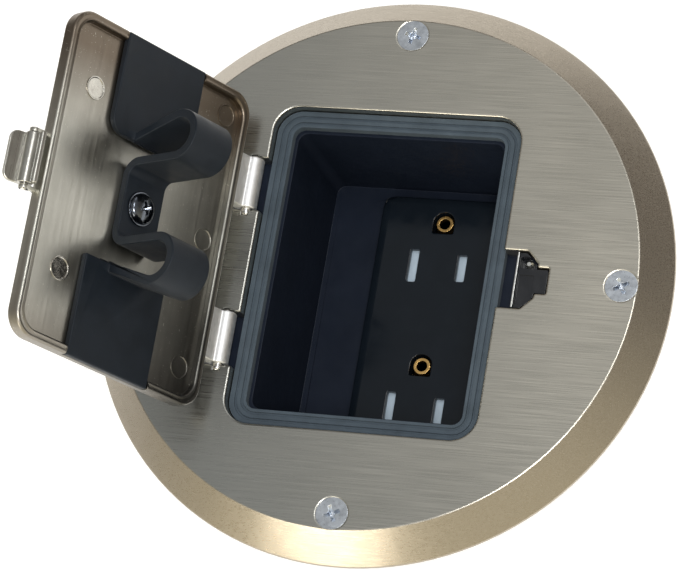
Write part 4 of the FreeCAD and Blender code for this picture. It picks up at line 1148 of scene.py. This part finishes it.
@dataclass
class CoverScrews:
    """The four countersunk screws of the cover plate.

    Attributes:
        screw: pattern of one screw.
        turns: how far each screw's recess is turned.
    """

    screw: CrossScrew = field(default_factory=lambda: CrossScrew(3.98, 2.0, 21.0, 0.0, 2.3, 7.3))
    turns: tuple[float, ...] = (28.0, 75.0, 40.0, 24.0)

    def build(self) -> None:
        """Models one screw and copies it to the four places."""
        first = self.screw.model("cover_screw_pattern")
        for number, turn in enumerate(self.turns, 1):
            low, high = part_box(f"cover_screw_{number}")
            copy = Bench.twin(first)
            copy.location = ((low.x + high.x) / 2, (low.y + high.y) / 2, high.z)
            copy.rotation_euler.z = math.radians(turn)
            Bench.settle(copy, f"plate_screw_{number}")
            add_piece(copy, Body.COVER, Finishes.COVER_SCREW, f"cover_screw_{number}")
        bpy.data.objects.remove(first)


@dataclass
class CordGuard:
    """Rubber guard with two loops, its washer and its cross-recess screw.

    Attributes:
        plane: the lid's own axes.
        rounding: rounding of the rubber's edges.
        screw: pattern of its screw.
        screw_turn: how far the screw's recess is turned.
        screw_sink: head's seat under the washer's middle.
        middle: middle of the strap, from the hinge axis.
        strap_reach: half the stretch, from that middle, that the strap takes up.
        strap_scale: how much narrower the strap is than its node.
        strap_shift: how far it moves from the hinge.
    """

    plane: LidPlane
    rounding: float = 0.42
    screw: CrossScrew = field(default_factory=lambda: CrossScrew(3.75, 1.4, 4.2, 1.7, reach=1.9))
    screw_turn: float = 24.0
    screw_sink: float = 0.3
    middle: float = 36.05
    strap_reach: float = 8.8
    strap_scale: float = 0.74
    strap_shift: float = -0.6

    def build(self) -> None:
        """Models the rubber, the washer and the screw."""
        self.make_rubber()
        round_node("guard_washer", "guard_washer_disc", Body.LID, Finishes.GUARD_FIXING,
                   width=0.12, angle=28.0)
        self.place_screw()

    def make_rubber(self) -> None:
        """Models the rubber, its strap narrower than its pads."""
        guard = Bench.copy_node("cord_guard", "cord_guard_rubber")
        Bench.soften(guard, self.rounding, 3, CREASE)
        self.plane.take_in(guard)
        middle = self.middle * MM
        reach = self.strap_reach * MM
        Bench.shift(guard, lambda p, n: abs(p.x - middle) < reach, (self.strap_shift, 0.0, 0.0),
                    (self.strap_scale, 1.0, 1.0), Vector((middle, 0, 0)))
        self.plane.put_out(guard, "cord_guard_rubber")
        add_piece(guard, Body.LID, Finishes.GUARD, "cord_guard")

    def place_screw(self) -> None:
        """Models the screw and stands it on the washer."""
        low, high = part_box("guard_washer")
        seat = self.plane.matrix().inverted() @ ((low + high) / 2)
        screw = self.screw.model("guard_screw_head")
        screw.matrix_world = (Matrix.Translation(seat - Vector((0, 0, self.screw_sink * MM)))
                              @ Matrix.Rotation(math.pi, 4, "X")
                              @ Matrix.Rotation(math.radians(self.screw_turn), 4, "Z"))
        self.plane.put_out(screw, "guard_screw_head")
        add_piece(screw, Body.LID, Finishes.GUARD_FIXING, "guard_screw")


class Hinge:
    """Knuckles and pins of the lid's hinge."""

    def build(self) -> None:
        """Models both knuckles and both pins."""
        for side in ("upper", "lower"):
            round_node(f"hinge_knuckle_{side}", f"knuckle_{side}", Body.LID, Finishes.KNUCKLE,
                       width=0.35)
            round_node(f"hinge_pin_{side}", f"pin_{side}", Body.COVER, Finishes.PIN, width=0.45,
                       segments=4)


class Latch:
    """Formed lever on the lid's free edge."""

    def build(self) -> None:
        """Models the lever."""
        round_node("latch_lever", "latch_lever_formed", Body.LATCH, Finishes.LATCH, width=0.3)


@dataclass
class Well:
    """Gasket, tub, keeper and receptacle inside the opening, with their edges rounded.

    Attributes:
        roundings: name, rounding and finish of each piece, by its node.
        strip_scale: how much narrower the keeper's strip is than its node.
        strip_shift: how far the strip moves along x.
        clip_rise: how much higher a ground contact reaches than its node.
        clip_taper: scale of the contact's upper end.
        face_chamfer: chamfer round the receptacle's face.
        face_margin: how near its outline an edge lies to be chamfered.
        level_margin: how far under a piece's top an edge or vertex counts as on it.
    """

    roundings: ClassVar[dict[str, tuple[str, float, Finishes]]] = {
        "lid_gasket": ("lid_gasket_strip", 0.16, Finishes.GASKET),
        "recess_tub": ("recess_tub_moulding", 0.30, Finishes.TUB),
        "receptacle_face": ("receptacle_face_moulding", 0.30, Finishes.FACE),
        "keeper_block": ("keeper_moulding", 0.12, Finishes.KEEPER_PLASTIC),
        "keeper_strip": ("keeper_spring_strip", 0.10, Finishes.KEEPER_STEEL),
        "ground_contact_upper": ("ground_clip_upper", 0.15, Finishes.BRASS),
        "ground_contact_lower": ("ground_clip_lower", 0.15, Finishes.BRASS),
    }
    strip_scale: float = 0.42
    strip_shift: float = -0.29
    clip_rise: float = 2.6
    clip_taper: float = 0.64
    face_chamfer: float = 1.3
    face_margin: float = 1.5
    level_margin: float = 0.01

    def build(self) -> None:
        """Models each piece from its node."""
        for node, (name, width, finish) in self.roundings.items():
            piece = Bench.copy_node(node, name)
            low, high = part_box(node)
            middle = (low + high) / 2
            brink = high.z - self.level_margin * MM
            if node == "keeper_strip":
                Bench.shift(piece, lambda p, n: True, (self.strip_shift, 0.0, 0.0),
                            (self.strip_scale, 1.0, 1.0), middle)
            elif node.startswith("ground_contact"):
                Bench.shift(piece, lambda p, n: p.z > brink, (0.0, 0.0, self.clip_rise),
                            (self.clip_taper, self.clip_taper, 1.0), middle)
            elif node == "receptacle_face":
                self.chamfer_face(piece, low, high)
            Bench.soften(piece, width, 2, CREASE)
            add_piece(Bench.settle(piece, name), Body.COVER, finish, node)

    def chamfer_face(self, face: Piece, low: Vector, high: Vector) -> None:
        """Chamfers the outline of the receptacle's face.

        Args:
            face: the face.
            low: low corner of its box.
            high: high corner of its box.
        """
        margin = self.face_margin * MM
        brink = high.z - self.level_margin * MM
        count = Bench.select(face, "EDGE", lambda c, d: c.z > brink
                             and (min(c.x - low.x, high.x - c.x) < margin
                                  or min(c.y - low.y, high.y - c.y) < margin))
        bpy.ops.mesh.bevel(offset=self.face_chamfer * MM, segments=1, affect="EDGES")
        Bench.leave()
        LOG.info("face edges chamfered: %d", count)


class CoverPlate:
    """Cover plate with softened edges."""

    def build(self) -> None:
        """Models the plate."""
        round_node("cover_plate", "plate_casting", Body.COVER, Finishes.PLATE, width=0.3,
                   segments=2, angle=25.0)


class CarriedNodes:
    """Nodes of the frame that stay as they are, in a better finish."""

    def build(self) -> None:
        """Dresses every node by the material slot that the record gives it."""
        slots = {part["node"]: part["material_slot"] for part in frame["record"]["subparts"]}
        by_name = {finish.value.name: finish for finish in Finishes}
        for node, piece in frame["nodes"].items():
            by_name[slots[node]].put_on(piece)
        LOG.info("%d nodes dressed", len(frame["nodes"]))


def main() -> None:
    """Builds the whole scene."""
    logging.basicConfig(level=logging.INFO, format="%(name)s %(message)s")
    Studio().build()
    CarriedNodes().build()
    plane = LidPlane.of_frame()
    CoverPlate().build()
    Lid(plane).build()
    CordGuard(plane).build()
    Hinge().build()
    Latch().build()
    Well().build()
    CoverScrews().build()


if __name__ == "__main__":
    main()
